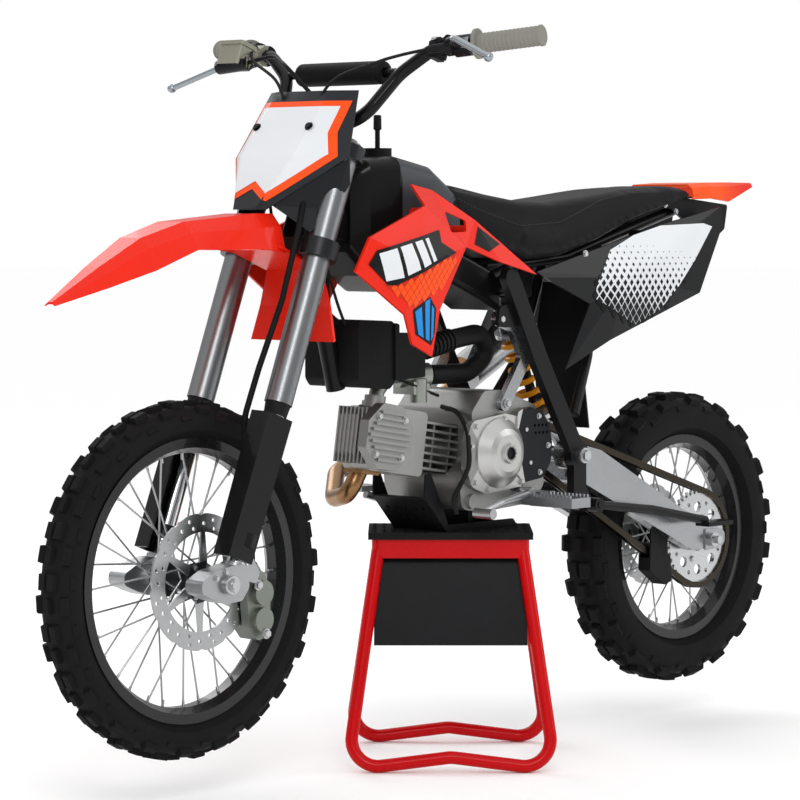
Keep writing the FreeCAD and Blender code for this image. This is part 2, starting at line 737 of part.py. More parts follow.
bar_radius = size("bar_radius", 11)
bar_rise = size("bar_rise", 250)
bar_lead = size("bar_lead", 14)
saddle_spacing = size("saddle_spacing", 40)
saddle_half = size("saddle_half", 13)
stem_foot = float(lower_clamp_rise) + float(clamp_thickness) - 1
stem = Part.makeCylinder(float(stem_radius), float(top_clamp_rise) + 1 - stem_foot,
                         vec(0, 0, stem_foot))
riser_foot = float(top_clamp_rise) + float(top_clamp_thickness) - 0.5
risers = []
for sign in (1, -1):
    y = sign * float(saddle_spacing)
    half = float(saddle_half)
    risers.append(Part.makeCylinder(half, float(bar_rise) - float(bar_radius) - riser_foot,
                                    vec(bar_lead, y, riser_foot)))
    risers.append(box(bar_lead - 20, bar_lead + 20, y - half, y + half,
                      bar_rise - bar_radius - 9, bar_rise + bar_radius + 8))
clamps = fused([clamp(lower_clamp_rise, clamp_thickness),
                clamp(top_clamp_rise, top_clamp_thickness), stem] + risers)
clamps = clamps.cut(across(bar_lead, bar_rise, -80, 80,
                           float(bar_radius) + 2 * float(press_gap)))
keep("triple_clamps", clamps, STEERING)

# Handlebar
# A braced steel bar with a padded crossbar, grips, levers and their housings.
bar_half_width = size("bar_half_width", 372)
bar_straight = size("bar_straight", 187)
bar_tip_rise = size("bar_tip_rise", 428)
bar_sweep = size("bar_sweep", 76)
brace_radius = size("brace_radius", 6.5)
brace_half = size("brace_half", 130)
grip_radius = size("grip_radius", 16)
grip_length = size("grip_length", 118)
pad_radius = size("pad_radius", 22)
pad_half = size("pad_half", 100)
perch_width = size("perch_width", 28)
perch_radius = size("perch_radius", 18)
brace_z = bar_rise + 99


def bar_side(sign):
    """Half the bar: the clamped middle, the rise, and the straight that holds the grip."""
    return [vec(bar_lead, 0, bar_rise), vec(bar_lead, sign * 90, bar_rise),
            vec(-8, sign * float(brace_half), 345),
            vec(bar_lead - 26, sign * float(bar_half_width - bar_straight), 388),
            vec(bar_lead - bar_sweep, sign * float(bar_half_width), bar_tip_rise)]


bar_path = list(reversed(bar_side(-1)[1:])) + bar_side(1)[1:]
brace_end = float(brace_half)
brace = rod(vec(-8, -brace_end, brace_z), vec(-8, brace_end, brace_z), brace_radius)
handlebar = fused([pipe(bar_path, bar_radius, 60), brace])
keep("handlebar", handlebar, STEERING)
pad_bore = brace_radius + seat_gap
keep("bar_pad", turned_profile([(-pad_half, pad_bore), (-pad_half, pad_radius - 5),
                                (-pad_half + 5, pad_radius), (pad_half - 5, pad_radius),
                                (pad_half, pad_radius - 5), (pad_half, pad_bore)],
                               vec(-8, 0, brace_z)), STEERING)


def along_bar(sign, start, end, radius, hollow):
    """A sleeve on the bar's straight end, measured in from the tip."""
    tip = bar_side(sign)[4]
    way = (bar_side(sign)[3] - tip).normalize()
    start, end = float(start), float(end)
    sleeve = Part.makeCylinder(float(radius), end - start, tip + way * start, way)
    return sleeve.cut(Part.makeCylinder(float(hollow), end - start + 2,
                                        tip + way * (start - 1), way))


bar_hold = bar_radius + face_gap
bar_room = pipe(bar_path, bar_hold, 60)


def grip(sign):
    sleeve = along_bar(sign, 0.5, grip_length, grip_radius, bar_hold)
    flange = along_bar(sign, grip_length - 5, grip_length, grip_radius + 9, bar_hold)
    return fused([sleeve, flange])


keep("hand_grips", Part.makeCompound([grip(1), grip(-1)]), STEERING)


def lever(sign, start, drop, end):
    """A perch clamped beside the grip and the blade that it carries."""
    perch = along_bar(sign, start, start + perch_width, perch_radius, bar_hold)
    tip = bar_side(sign)[4]
    way = (bar_side(sign)[3] - tip).normalize()
    root = tip + way * float(start + perch_width / 2) + vec(14, 0, -drop / 3)
    pivot = root + vec(28, 0, -drop)
    knee = pivot + vec(8, sign * 24, -drop / 4)
    blade = pipe([pivot - vec(3, 0, 0), knee, tip + vec(*end)], 5.5, 20)
    ball = Part.makeSphere(8, tip + vec(*end))
    return [perch, rod(root, pivot, 9), blade, ball], pivot


clutch, _ = lever(1, grip_length + 8, 6, (68, -42, -65))
keep("clutch_lever", fused(clutch).cut(bar_room), STEERING)
brake_start = grip_length + 34
cylinder_at = bar_side(-1)[4] + vec(114, 170, -84)
brake_pieces, brake_pivot = lever(-1, brake_start, 22, (97, 12, -113))
cylinder_pieces = [rod(cylinder_at - vec(0, 34, 0), cylinder_at + vec(0, 34, 6), 13),
                   rod(brake_pivot, cylinder_at, 9)]
reservoir = box(-18, 18, -26, 26, -2, 34)
lid = box(-20, 20, -28, 28, 33, 40)
for part in (reservoir, lid):
    part = edges_rounded(part, 5, lambda e: abs(e.tangentAt(e.FirstParameter).z) > 0.9)
    part.translate(cylinder_at)
    cylinder_pieces.append(part)
brake = fused(brake_pieces + cylinder_pieces)
keep("brake_lever", brake.cut(bar_room), STEERING)
keep("throttle", along_bar(-1, grip_length + 1, grip_length + 30, grip_radius + 5, bar_hold),
     STEERING)

# Brake hose
# It leaves the master cylinder, loops over the bars and runs down inside the left fork leg.
caliper_back = size("caliper_back", 108)
caliper_drop = size("caliper_drop", 46)
caliper_half = size("caliper_half", 56)
disc_slot = size("disc_slot", 3)
hose_radius = size("hose_radius", 3.5)
sleeve_radius = size("sleeve_radius", 5)
hose_start = cylinder_at + vec(0, 34, 6)
hose_top = pipe([hose_start, hose_start + vec(2, 60, 10)] + [vec(*p) for p in [
    (81.6, -40, 325.1), (48.5, 16, 277.9), (61.8, 35, 228.8)]], hose_radius, 50)
hose_down = pipe([vec(*p) for p in [
    (61.8, 35, 228.8), (63.1, 58, 131.9), (74.2, 80, 40.9), (66.4, 77, -77.2), (66.8, 66, -196.2),
    (63.6, 60, -274.2), (38.4, 55, -328.8), (-6.9, 55, -407.8), (-42.4, 55, -491.7)]],
    sleeve_radius, 60)
banjo = across(0, 0, -6, 6, 8)
banjo.translate(vec(front_x - caliper_back + 4, 55,
                    front_axle_z - caliper_drop + caliper_half + 8.2))
keep("brake_hose", fused([placed(hose_top, STEERING), placed(hose_down, STEERING), banjo]))

# Front fender and number plate
# Moulded plastic with pressed ridges, carried by the lower clamp and the fork's head.
moulding = size("moulding", 4)


def ridged(x, widths, heights):
    """An arched section with a flat top, a shoulder and a skirt at each side."""
    wall = float(moulding)
    outer = [(a, z) for a, z in zip(widths, heights)]
    inner = [(max(a - wall * k, 1.0), z - wall * (1.2 - k))
             for (a, z), k in zip(outer, (0.2, 0.7, 1.0))]
    ring = [(-a, z) for a, z in reversed(outer)] + outer + list(reversed(inner))
    ring += [(-a, z) for a, z in inner]
    return [(x, y, z) for y, z in ring]


fender = moulded([ridged(66, (32, 52, 63), (91, 69, 27)), ridged(108, (34, 54, 66), (91, 68, 33)),
                  ridged(263, (30, 48, 66), (78, 60, 34)), ridged(349, (24, 42, 60), (53, 36, 2)),
                  ridged(430, (16, 30, 40), (8, -4, -24)),
                  ridged(515, (5, 8, 14), (-44, -46, -50))])
tongue_top = float(lower_clamp_rise) - float(seat_gap)
tongue = box(-20, 92, -66, 66, tongue_top - 4.7, tongue_top)
flap = Part.makeLoft([
    polygon([vec(-20, -60, tongue_top - 0.7), vec(-12, -60, 3), vec(-12, 60, 3),
             vec(-20, 60, tongue_top - 0.7)]),
    polygon([vec(-42, -80, -50), vec(-37, -80, -52), vec(-37, 80, -52), vec(-42, 80, -50)]),
    polygon([vec(-56, -96, -104), vec(-52, -96, -107), vec(-52, 96, -107),
             vec(-56, 96, -104)])], True, True)
keep("front_fender", fused([placed(fender, COWLING), placed(tongue, STEERING),
                            placed(flap, STEERING)]))


def plate_section(nose, flat, edge, reach, z):
    """The plate at one height: a flat middle and a side that sweeps back, one wall thick."""
    wall = float(moulding)
    outer = [(edge, -reach), (nose, -flat), (nose, flat), (edge, reach)]
    inner = [(edge - wall, reach - 1.5), (nose - wall, flat - 1.5), (nose - wall, 1.5 - flat),
             (edge - wall, 1.5 - reach)]
    return [(x, y, z) for x, y in outer + inner]


plate = moulded([plate_section(-39, 62, -64, 100, 292), plate_section(47, 60, -9, 130, 182),
                 plate_section(101, 24, 84, 34, 97)])
plate_lugs = []
for sign in (1, -1):
    low_lug = vec(float(fork_offset) + float(upper_tube_radius) - 4, sign * 60,
                  float(top_clamp_rise) + 12)
    plate_lugs.append(rod(low_lug, low_lug + vec(62, 0, 30), 6))
plate_lugs = placed(fused(plate_lugs), STEERING)
plate_room = [placed(clamps, STEERING)]
keep("number_plate", fused([placed(plate, COWLING), plate_lugs]).cut(plate_room))

# Front brake caliper: a cast body over the disc, on a bracket from the left fork shoe
disc_mid = hub_half + disc_thickness / 2
caliper = side_plate([(-24, -50), (4, -56), (22, -34), (30, 40), (20, 56), (-10, 56), (-26, 26)],
                     disc_mid - 17, disc_mid + 22, 8)
pistons = [across(-2, s * 22, disc_mid + 20, disc_mid + 33, 20) for s in (1, -1)]
slot = across(caliper_back, caliper_drop, disc_mid - disc_thickness / 2 - disc_slot,
              disc_mid + disc_thickness / 2 + disc_slot, front_disc_radius + 5)
caliper = fused([caliper] + pistons).cut(slot)
caliper.translate(vec(front_x - caliper_back, 0, front_axle_z - caliper_drop))
bracket_out = fork_half_spacing - shoe_half - face_gap * 2
bracket = side_plate([(-caliper_back - 6, 6), (-74, -24), (-20, -12), (-17, 14), (-60, 46),
                      (-caliper_back + 4, 20)], bracket_out - 9, bracket_out, 5)
bracket.translate(vec(front_x, 0, front_axle_z))
keep("front_caliper", fused([caliper, bracket]))

# Frame
# Head tube, backbone, a bent box leg each side down past the swingarm pivot, and seat rails.
# It is drawn about the swingarm pivot; its front end meets the head tube.
head_x = steer_x - float(pivot_x)
head_z = steer_z - float(pivot_z)
IN_CHASSIS = CHASSIS.inverse().multiply(STEERING)
head_foot = lower_clamp_rise + clamp_thickness + 2
head_top = top_clamp_rise - 2
rail_radius = size("rail_radius", 10)
rail_spacing = size("rail_spacing", 58)
pivot_bolt_radius = size("pivot_bolt_radius", 8)
leg_section = size("leg_section", 34)
pivot_boss_radius = size("pivot_boss_radius", 24)
shock_bolt = size("shock_bolt", 8)
shock_eye_half = size("shock_eye_half", 14)
shock_ahead = size("shock_ahead", 77)
shock_rise = size("shock_rise", 293)
foot_drop = size("foot_drop", 80)

head_tube = placed(Part.makeCylinder(float(head_tube_radius), float(head_top - head_foot),
                                     vec(0, 0, head_foot)), IN_CHASSIS)
head_bore = placed(Part.makeCylinder(float(stem_radius) + float(running_gap),
                                     float(top_clamp_rise), vec(0, 0, 20)), IN_CHASSIS)
backbone = Part.makeLoft([section(head_x - 46, 22, head_z + 52, head_z + 112, 10),
                          section(357, 40, 341, 401, 10),
                          section(153, 60, 257, 321, 10)], True, False)
leg = strap([(181, 315), (153, 263), (107, 176), (39, 64), (0, 0), (-1, -79)],
            leg_section, leg_in, leg_out, 60)
pivot_boss = across(0, 0, leg_in, leg_out, pivot_boss_radius)
cross_low = across(0, -float(foot_drop), -leg_in - 1, leg_in + 1, 12)
cross_high = across(153, 299, -leg_in - 1, leg_in + 1, 16)
rail_path = [(171, 315, 0), (107, 337, 0), (-23, 347, 0),
             (-193, 393, 2), (-403, 443, 18)]


def rail_points(sign):
    return [vec(x, sign * (float(rail_spacing) - nearer), z) for x, z, nearer in rail_path]


rail = pipe(rail_points(1), rail_radius, 80)
strut = pipe([vec(1, leg_in + 3, 71), vec(-63, 80, 171),
              vec(-115, float(rail_spacing), 369)], 9, 60)
rail_cross = across(-193, 393, -rail_spacing, rail_spacing, 8)
down_path = [vec(head_x - 50, 0, head_z + 77), vec(head_x - 74, 0, head_z + 27),
             vec(533, 0, 261), vec(499, 0, 131)]
down_radius = size("down_radius", 16)
down_tube = pipe(down_path, down_radius, 60)
gusset = side_plate([(shock_ahead - 18, shock_rise + 50), (shock_ahead + 18, shock_rise + 50),
                     (shock_ahead + 14, shock_rise - 14), (shock_ahead - 14, shock_rise - 14)],
                    rail_spacing - 9, rail_spacing - 1, 6)
shock_spacer = across(shock_ahead, shock_rise, shock_eye_half + running_gap, rail_spacing - 8, 13)
stand_pin_radius = size("stand_pin_radius", 6)
stand_pin_x = -29.0
stand_pin_z = -float(foot_drop) - 9
stand_bracket = side_plate([(4, -62), (-20, -58), (stand_pin_x - 12, stand_pin_z + 4),
                            (stand_pin_x - 8, stand_pin_z - 13), (2, stand_pin_z - 8)],
                           leg_in + 2, leg_out - 2, 5)
stand_pin = across(stand_pin_x, stand_pin_z, leg_out - 6, leg_out + 24, stand_pin_radius)
hanger_lug = side_plate([(133, 281), (203, 265), (209, 231), (183, 229), (145, 233)],
                        leg_in, leg_in + 6, 8)
half_frame = [leg, pivot_boss, rail, strut, gusset, shock_spacer, hanger_lug]
frame_shape = fused([head_tube, backbone, cross_low, cross_high, rail_cross, down_tube, stand_bracket,
                     across(shock_ahead, shock_rise, -50, 50, shock_bolt), stand_pin]
                    + half_frame + [mirrored(s) for s in half_frame])
pivot_bore = across(0, 0, -leg_out - 4, leg_out + 4, pivot_bolt_radius + journal_gap)
frame_shape = frame_shape.cut([head_bore, pivot_bore])
keep("frame", frame_shape, CHASSIS)

# Engine
# A horizontal single: a crankcase across the frame, a finned barrel and head lying forward.
# It is drawn about its crankshaft.
cover_gap = size("cover_gap", 0.2)
fin_thickness = size("fin_thickness", 4)
fin_pitch = size("fin_pitch", 13)
barrel_fins = 7
barrel_half = size("barrel_half", 54)
head_half = size("head_half", 57)
stator_radius = size("stator_radius", 58)
case_outline = [(-138, -60), (-106, -90), (24, -98), (78, -90), (86, -30), (52, -10),
                (52, 76), (20, 110), (-26, 110), (-116, 80)]
case = fused([side_plate(case_outline, -engine_half, engine_half, 16),
              across(56, -78, engine_half - 6, engine_half + 9, 13)])
chain_room = Part.Face(chain_loop(13)).extrude(vec(0, 60, 0))
chain_room.translate(vec(0, chain_y - 13, 0))
# The cylinder leans up towards the front: its pieces are drawn along its own line and tilted.
cylinder_tilt = size("cylinder_tilt", 9)
barrel_start = size("barrel_start", 53)
barrel_length = size("barrel_length", 86)
head_length = size("head_length", 146)
head_rise = size("head_rise", 55)
TILT = FreeCAD.Placement(ORIGIN, FreeCAD.Rotation(Y_AXIS, -float(cylinder_tilt)))
CYLINDER = ENGINE.multiply(TILT)
barrel_end = barrel_start + barrel_length
head_end = barrel_end + head_length
barrel_core = Part.makeCylinder(38, float(barrel_length) + 2, vec(barrel_start, 0, 0), X_AXIS)
fins = []
for i in range(barrel_fins):
    z = float(fin_pitch) * (i - (barrel_fins - 1) / 2)
    fins.append(box(barrel_start, barrel_end + 1, -barrel_half, barrel_half,
                    z - fin_thickness / 2, z + fin_thickness / 2))
fin_span = fin_pitch * ((barrel_fins - 1) / 2) + fin_thickness / 2
ties = [box(barrel_start + u, barrel_start + u + 4, -barrel_half + 5, barrel_half - 5, -fin_span,
            fin_span) for u in (14, 56)]
head_left = side_plate([(barrel_end, -head_rise), (head_end - 30, -head_rise),
                        (head_end - 16, -30), (head_end - 16, 34), (head_end - 30, head_rise),
                        (barrel_end, head_rise)], 4, head_half, 10)
head_right = side_plate([(barrel_end, -head_rise), (head_end - 60, -head_rise),
                         (head_end - 48, -30), (head_end - 48, 34), (head_end - 60, head_rise),
                         (barrel_end, head_rise)], -head_half + 13, 6, 10)
head = fused([head_left, head_right])
nose = side_plate([(head_end - 66, -46), (head_end - 2, -34), (head_end - 2, 38),
                   (head_end - 66, 48)], -14, 34, 8)
nose_fins = [box(head_end - 40, head_end, y - 1.8, y + 1.8, -46, 48)
             for y in (-12, -3, 6, 15, 24, 33, 42, 51)]
caps = [Part.makeCylinder(18, 20, vec(head_end - 42, 28, head_rise - 4)),
        Part.makeCylinder(10, 14, vec(head_end - 84, -28, head_rise - 4))]
keep("engine_cylinder", fused([barrel_core, head, nose] + fins + ties + nose_fins + caps),
     CYLINDER)


barrel_seat = placed(box(barrel_start - face_gap, barrel_end, -barrel_half - 2, barrel_half + 2,
                         -fin_span - 3, fin_span + 3), TILT)
keep("engine_case", placed(case.cut(barrel_seat), ENGINE).cut(chain_room))


def on_cylinder(u, w):
    """A point of the tilted cylinder in the engine's own frame."""
    return TILT.multVec(vec(u, 0, w))


cover_in = engine_half + cover_gap
flange_out = cover_in + 12
stator_x, stator_z = -6, 3
flange = side_plate([(78, 26), (66, 60), (-20, 70), (-62, 62), (-88, 34), (-91, -22), (-68, -58),
                     (30, -66), (66, -52), (80, -20)], cover_in, flange_out, 14)
dome = turned_profile([(flange_out - 2, 0), (flange_out - 2, stator_radius + 4),
                       (flange_out + 3, stator_radius + 2), (flange_out + 18, stator_radius - 16),
                       (flange_out + 22, stator_radius - 26), (flange_out + 22, 18),
                       (flange_out + 27, 16), (flange_out + 27, 10), (flange_out + 23, 9),
                       (flange_out + 23, 0)], vec(stator_x, 0, stator_z))
chain_cover = side_plate([(-50, 70), (-62, 76), (-112, 74), (-132, 50),
                          (-142, 15), (-138, -20), (-116, -46), (-66, -52),
                          (-46, -32)], cover_in, cover_in + 15, 8)
slots = [across(-96 - 10 * i - 2 * j, 46 - 13 * j, cover_in - 1, cover_in + 20, 3)
         for i in range(4) for j in range(2)]
left_cover = fused([flange, dome])
chain_cover = chain_cover.cut([left_cover] + slots)
left_cover = fused([left_cover, chain_cover])
head_cover_in = head_half + cover_gap
cover_reach = size("cover_reach", 55)
corner = float(cover_reach) / math.cos(math.pi / 8)
cover_points = [(corner * math.cos(math.radians(22.5 + 45 * i)),
                 corner * math.sin(math.radians(22.5 + 45 * i))) for i in range(8)]
head_cover = side_plate(cover_points, head_cover_in, head_cover_in + 20, 4)
ribs = [box(-52 + abs(k) * 6, 52 - abs(k) * 6, head_cover_in + 18, head_cover_in + 25,
            10 * k - 2.4, 10 * k + 2.4) for k in range(-4, 5)]
head_cover = fused([head_cover] + ribs)
head_cover.translate(vec(head_end - 36, 0, 2))
head_cover = placed(head_cover, TILT)
clutch_cover = turned_profile([(-cover_in, 0), (-cover_in, 66), (-cover_in - 24, 62),
                               (-cover_in - 34, 50), (-cover_in - 34, 0)], vec(-30, 0, 0))
keep("engine_covers", Part.makeCompound([left_cover, head_cover, clutch_cover]), ENGINE)

carb_z = 138
bowl = Part.makeCylinder(15, 40, vec(118, 24, carb_z - 46))
carburettor = fused([rod(vec(90, 20, carb_z), vec(144, 0, carb_z), 21),
                     Part.makeCylinder(17, 50, vec(118, 8, carb_z)),
                     box(98, 138, -16, 32, 106, carb_z - 10), bowl])
keep("carburettor", carburettor, ENGINE)
port = on_cylinder(head_end - 74, head_rise + cover_gap)
manifold_path = [vec(144.5, 0, carb_z), vec(170, 0, carb_z - 2),
                 port + vec(-4, 0, 26), port]
manifold_foot = placed(box(head_end - 92, head_end - 62, -14, 20, head_rise + cover_gap,
                           head_rise + cover_gap + 7), TILT)
manifold = fused([pipe(manifold_path, 13, 18), manifold_foot])
manifold = manifold.cut([carburettor, placed(head, TILT)])
keep("intake_manifold", manifold, ENGINE)
airbox_main = side_plate([(217, 234), (217, 132), (230, 120), (296, 125), (306, 138),
                          (306, 230), (296, 238)], -62, 62, 12)
airbox_lid = side_plate([(210, 228), (210, 138), (220, 134), (220, 232)], -66, 66, 3)
airbox_rear = side_plate([(146, 212), (146, 138), (218, 134), (218, 214)], 24, 66, 3)
TO_ENGINE = ENGINE.inverse().multiply(CHASSIS)
down_room = placed(pipe(down_path, down_radius + running_gap, 60), TO_ENGINE)
keep("airbox", fused([airbox_main, airbox_lid, airbox_rear]).cut(down_room), ENGINE)
hose_path = [vec(*p) for p in [(89.5, 20, 138), (-6, 24, 138), (-48, 34, 170), (-16, 46, 208),
                                 (64, 48, 198), (142, 48, 183)]]
intake_radius = size("intake_radius", 17)
hose = pipe(hose_path, intake_radius, 40)
rings = []
for i in range(7):
    start = hose_path[4] + (hose_path[5] - hose_path[4]) * (0.02 + 0.125 * i)
    end = start + (hose_path[5] - hose_path[4]).normalize() * 5
    rings.append(rod(start, end, intake_radius + 3))
keep("intake_hose", fused([hose] + rings).cut(carburettor), ENGINE)

# Exhaust: a header that loops under the head and a silencer on the right side
silencer_radius = size("silencer_radius", 34)
header_radius = size("header_radius", 15)
outlet = on_cylinder(head_end - 52, -head_rise - cover_gap)
header = pipe([outlet, outlet + vec(22, -4, -40)] + [vec(*p) for p in [
    (230, -70, -72), (154, -136, -34), (14, -148, 6), (-116, -150, 70),
    (-206, -154, 130)]], header_radius, 50)
header_flange = placed(box(head_end - 76, head_end - 34, -20, 24, -head_rise - cover_gap - 6,
                           -head_rise - cover_gap), TILT)
silencer = rod(vec(-198, -154, 125), vec(-486, -154, 270), silencer_radius)
tail_pipe = rod(vec(-481, -154, 267), vec(-511, -154, 282), 18)
exhaust = fused([header, header_flange, silencer, tail_pipe])
keep("exhaust", exhaust.cut(placed(fused([head, nose]), TILT)), ENGINE)

# Skid plate: pressed from one sheet, a floor under the engine and two drilled wings
plate_wall = size("plate_wall", 4)
skid_half = size("skid_half", 62)
skid_floor = side_plate([(-96, -130), (87, -130), (142, -70), (138, -67), (85, -126),
                         (-96, -126)], -skid_half, skid_half, 1.5)
wing = side_plate([(78, -128), (87, -128), (142, -69), (140, -30), (128, -26)],
                  skid_half - plate_wall, skid_half, 3)
edge = side_plate([(-96, -128), (86, -128), (78, -118), (-86, -118)],
                  skid_half - plate_wall, skid_half, 3)
drilled = [rod(vec(x, y, z) - vec(8, 0, -8), vec(x, y, z) + vec(8, 0, -8), 4)
           for x, z in ((106, -106), (122, -88)) for y in (-42, -24, 0, 24, 42)]
case_slope = (98.0 - 90.0) / (24.0 + 106.0)
spacers = [side_plate([(x, -127), (x + 12, -127),
                       (x + 12, -90 - (x + 118) * case_slope - cover_gap),
                       (x, -90 - (x + 106) * case_slope - cover_gap)], -40, 40, 0.5)
           for x in (-60, -4)]
skid = fused([skid_floor, wing, mirrored(wing), edge, mirrored(edge)] + spacers)
keep("skid_plate", skid.cut(drilled), ENGINE)

# Engine hangers: a bent alloy arm each side from the frame's leg down to the crankcase
hanger_width = size("hanger_width", 24)
hanger = strap([(-8, 234), (-46, 222), (-78, 166), (-22, 86)], hanger_width,
               engine_half + cover_gap, leg_in - face_gap, 26)
keep("engine_hangers", both(hanger), ENGINE)

# Foot controls
peg_mount_out = leg_in + 32
teeth = []
for i in range(11):
    y = float(peg_mount_out) - 2 + 8.4 * i
    teeth.append(box(-104, -100, y, y + 4, -74, -68))
    teeth.append(box(-58, -54, y, y + 4, -74, -68))
peg_walls = [box(-104, -100, peg_mount_out - 4, peg_mount_out + 90, -90, -73),
             box(-58, -54, peg_mount_out - 4, peg_mount_out + 90, -90, -73),
             box(-82, -78, peg_mount_out - 4, peg_mount_out + 90, -86, -72),
             box(-104, -54, peg_mount_out + 86, peg_mount_out + 90, -90, -73),
             box(-104, -54, peg_mount_out - 4, peg_mount_out, -90, -72)]
peg_mount = box(-116, -78, engine_half + cover_gap, peg_mount_out, -92, -68)
keep("foot_pegs", both(fused(peg_walls + teeth + [peg_mount])), ENGINE)
gear_boss = rod(vec(-62, cover_in, -68), vec(-62, 127, -68), 9)
gear_arm = pipe([vec(-62, 120, -68), vec(34, 140, -78), vec(96, 144, -92)],
                6, 20)
gear_toe = rod(vec(96, 136, -92), vec(96, 176, -92), 9)
keep("gear_lever", fused([gear_boss, gear_arm, gear_toe]), ENGINE)
pedal_boss = rod(vec(2, -leg_out - cover_gap, -72), vec(2, -130, -72), 9)
pedal_arm = pipe([vec(2, -124, -72), vec(74, -124, -95), vec(177, -130, -95),
                  vec(273, -146, -67)], 7, 20)
keep("brake_pedal", fused([pedal_boss, pedal_arm, box(247, 297, -176, -132, -61, -51)]), CHASSIS)
kick_x = -94
kick_boss = rod(vec(kick_x, -cover_in, -46), vec(kick_x, -184, -46), 10)
kick_arm = pipe([vec(kick_x, -176, -46), vec(kick_x - 22, -176, 40),
                 vec(kick_x - 28, -178, 110)], 8, 20)
kick_toe = rod(vec(kick_x - 28, -172, 110), vec(kick_x - 28, -232, 116), 10)
keep("kick_starter", fused([kick_boss, kick_arm, kick_toe]), ENGINE)

# Swingarm and rear axle
# Two tapered alloy beams drawn about the pivot, with a slot-end block and nut at each axle end.
rear_dx = -float(swing_reach)
rear_dz = float(rear_axle_z) - float(pivot_z)
block_width = size("block_width", 3)
rear_tail = size("rear_tail", 11)
rear_nut_width = size("rear_nut_width", 9)
beam_outline = [(-2, 22), (-80, 4), (rear_dx + 80, rear_dz + 60), (rear_dx - 16, rear_dz + 24),
                (rear_dx - 44, rear_dz + 12), (rear_dx - 44, rear_dz - 14),
                (rear_dx + 50, rear_dz - 18), (-90, -78), (-6, -40)]
beam = side_plate(beam_outline, arm_in, arm_out, 12)
boss = across(0, 0, arm_in, leg_in - running_gap, 26)
block = side_plate([(rear_dx + 18, rear_dz - 20), (rear_dx + 18, rear_dz + 20),
                    (rear_dx - 20, rear_dz + 18), (rear_dx - 20, rear_dz - 18)],
                   arm_out - 1, arm_out + block_width, 4)
shock_low_x = size("shock_low_x", -31)
shock_low_z = size("shock_low_z", 41)
arm_cross = side_plate([(-68, -14), (-112, -26), (-112, -66), (-68, -56)], -arm_in - 2,
                       arm_in + 2, 6)
shock_ear = side_plate([(-70, -16), (-110, -26), (shock_low_x - 18, shock_low_z - 6),
                        (shock_low_x - 14, shock_low_z + 14),
                        (shock_low_x + 14, shock_low_z + 12)], shock_eye_half + 1,
                       shock_eye_half + 9, 8)
half_arm = [beam, boss, block, shock_ear]
swingarm = fused(half_arm + [mirrored(s) for s in half_arm]
                 + [arm_cross, across(0, 0, -arm_in - 1, arm_in + 1, 14),
                    across(shock_low_x, shock_low_z, -shock_eye_half - 2, shock_eye_half + 2,
                           shock_bolt)])
swingarm = swingarm.cut([pivot_bore, across(rear_dx, rear_dz, -130, 130,
                                            rear_axle_radius + journal_gap)])
keep("swingarm", swingarm, CHASSIS)
bolt_head = size("bolt_head", 14)
bolt_reach = leg_out + 10
turned_body("swingarm_bolt",
            [(-bolt_reach, 0), (-bolt_reach, bolt_head), (-(leg_out + face_gap), bolt_head),
             (-(leg_out + face_gap), pivot_bolt_radius), (leg_out + face_gap, pivot_bolt_radius),
             (leg_out + face_gap, bolt_head), (bolt_reach, bolt_head), (bolt_reach, 0)],
            pivot_x, 0, pivot_z)
rear_nut_in = arm_out + block_width + face_gap
turned_body("rear_axle",
            axle_outline(rear_axle_radius, rear_nut_in + rear_nut_width + rear_tail, rear_nut_in,
                         nut_radius + 1, rear_nut_width, arm_in - face_gap,
                         chain_y + sprocket_thickness / 2 + disc_gap,
                         hub_half + disc_thickness + disc_gap), rear_x, 0, rear_axle_z)

# Chain guide, slider and rear caliper, all carried by the swingarm
guide_gap = size("guide_gap", 9)
guide_x = rear_dx + 140
guide_low = chain_y - 14
guide = side_plate([(guide_x + 12, -172), (guide_x - 46, -204), (guide_x - 50, -250),
                    (guide_x - 30, -256), (guide_x + 14, -226)], guide_low, guide_low + 28, 6)
guide_room = Part.Face(chain_loop(float(guide_gap)))
guide_room = guide_room.cut(Part.Face(chain_loop(-float(guide_gap))))
guide_room = guide_room.extrude(vec(0, 22, 0))
guide_room.translate(vec(0, chain_y - 11, 0))
guide_block = guide.cut(placed(guide_room, CHASSIS.inverse()))
guide_block = guide_block.fuse(side_plate(
    [(guide_x + 8, -126), (guide_x - 40, -150), (guide_x - 42, -205), (guide_x + 8, -178)],
    arm_in - face_gap - 3, arm_in - face_gap, 5)).removeSplitter()
top_line = [(-30, 16), (-80, 4.4), (-203, -58.4)]
slider = side_plate([(x, z + 0.2) for x, z in top_line]
                    + [(x + 1, z + 3) for x, z in reversed(top_line)],
                    arm_in - 19, arm_in + 6, 0.4)
keep("chain_guide", Part.makeCompound([guide_block, slider]), CHASSIS)
caliper_centre = vec(rear_dx + 66, 0, rear_dz + 62)
disc_face = hub_half + disc_thickness
rear_body = side_plate([(-30, 2), (-8, 28), (20, 22), (32, -14), (10, -30), (-18, -22)],
                       -disc_face - 20, -hub_half + 13, 8)
rear_body.translate(caliper_centre)
rear_body = rear_body.cut(across(rear_dx, rear_dz, -disc_face - disc_slot,
                                 -hub_half + disc_slot, rear_disc_radius + 5))
ring_in, ring_out = -(arm_in - 2), -(arm_in - 10)
ring = turned_profile([(ring_in, spacer_radius + journal_gap), (ring_in, 24), (ring_out, 24),
                       (ring_out, spacer_radius + journal_gap)], vec(rear_dx, 0, rear_dz))
stay = side_plate([(rear_dx + 4, rear_dz + 16), (rear_dx + 18, rear_dz + 4),
                   (rear_dx + 76, rear_dz + 48), (rear_dx + 62, rear_dz + 66)], ring_in, ring_out,
                  5)
stay = stay.cut(across(rear_dx, rear_dz, -130, 130, spacer_radius + journal_gap))
keep("rear_caliper", fused([rear_body, ring, stay]), CHASSIS)
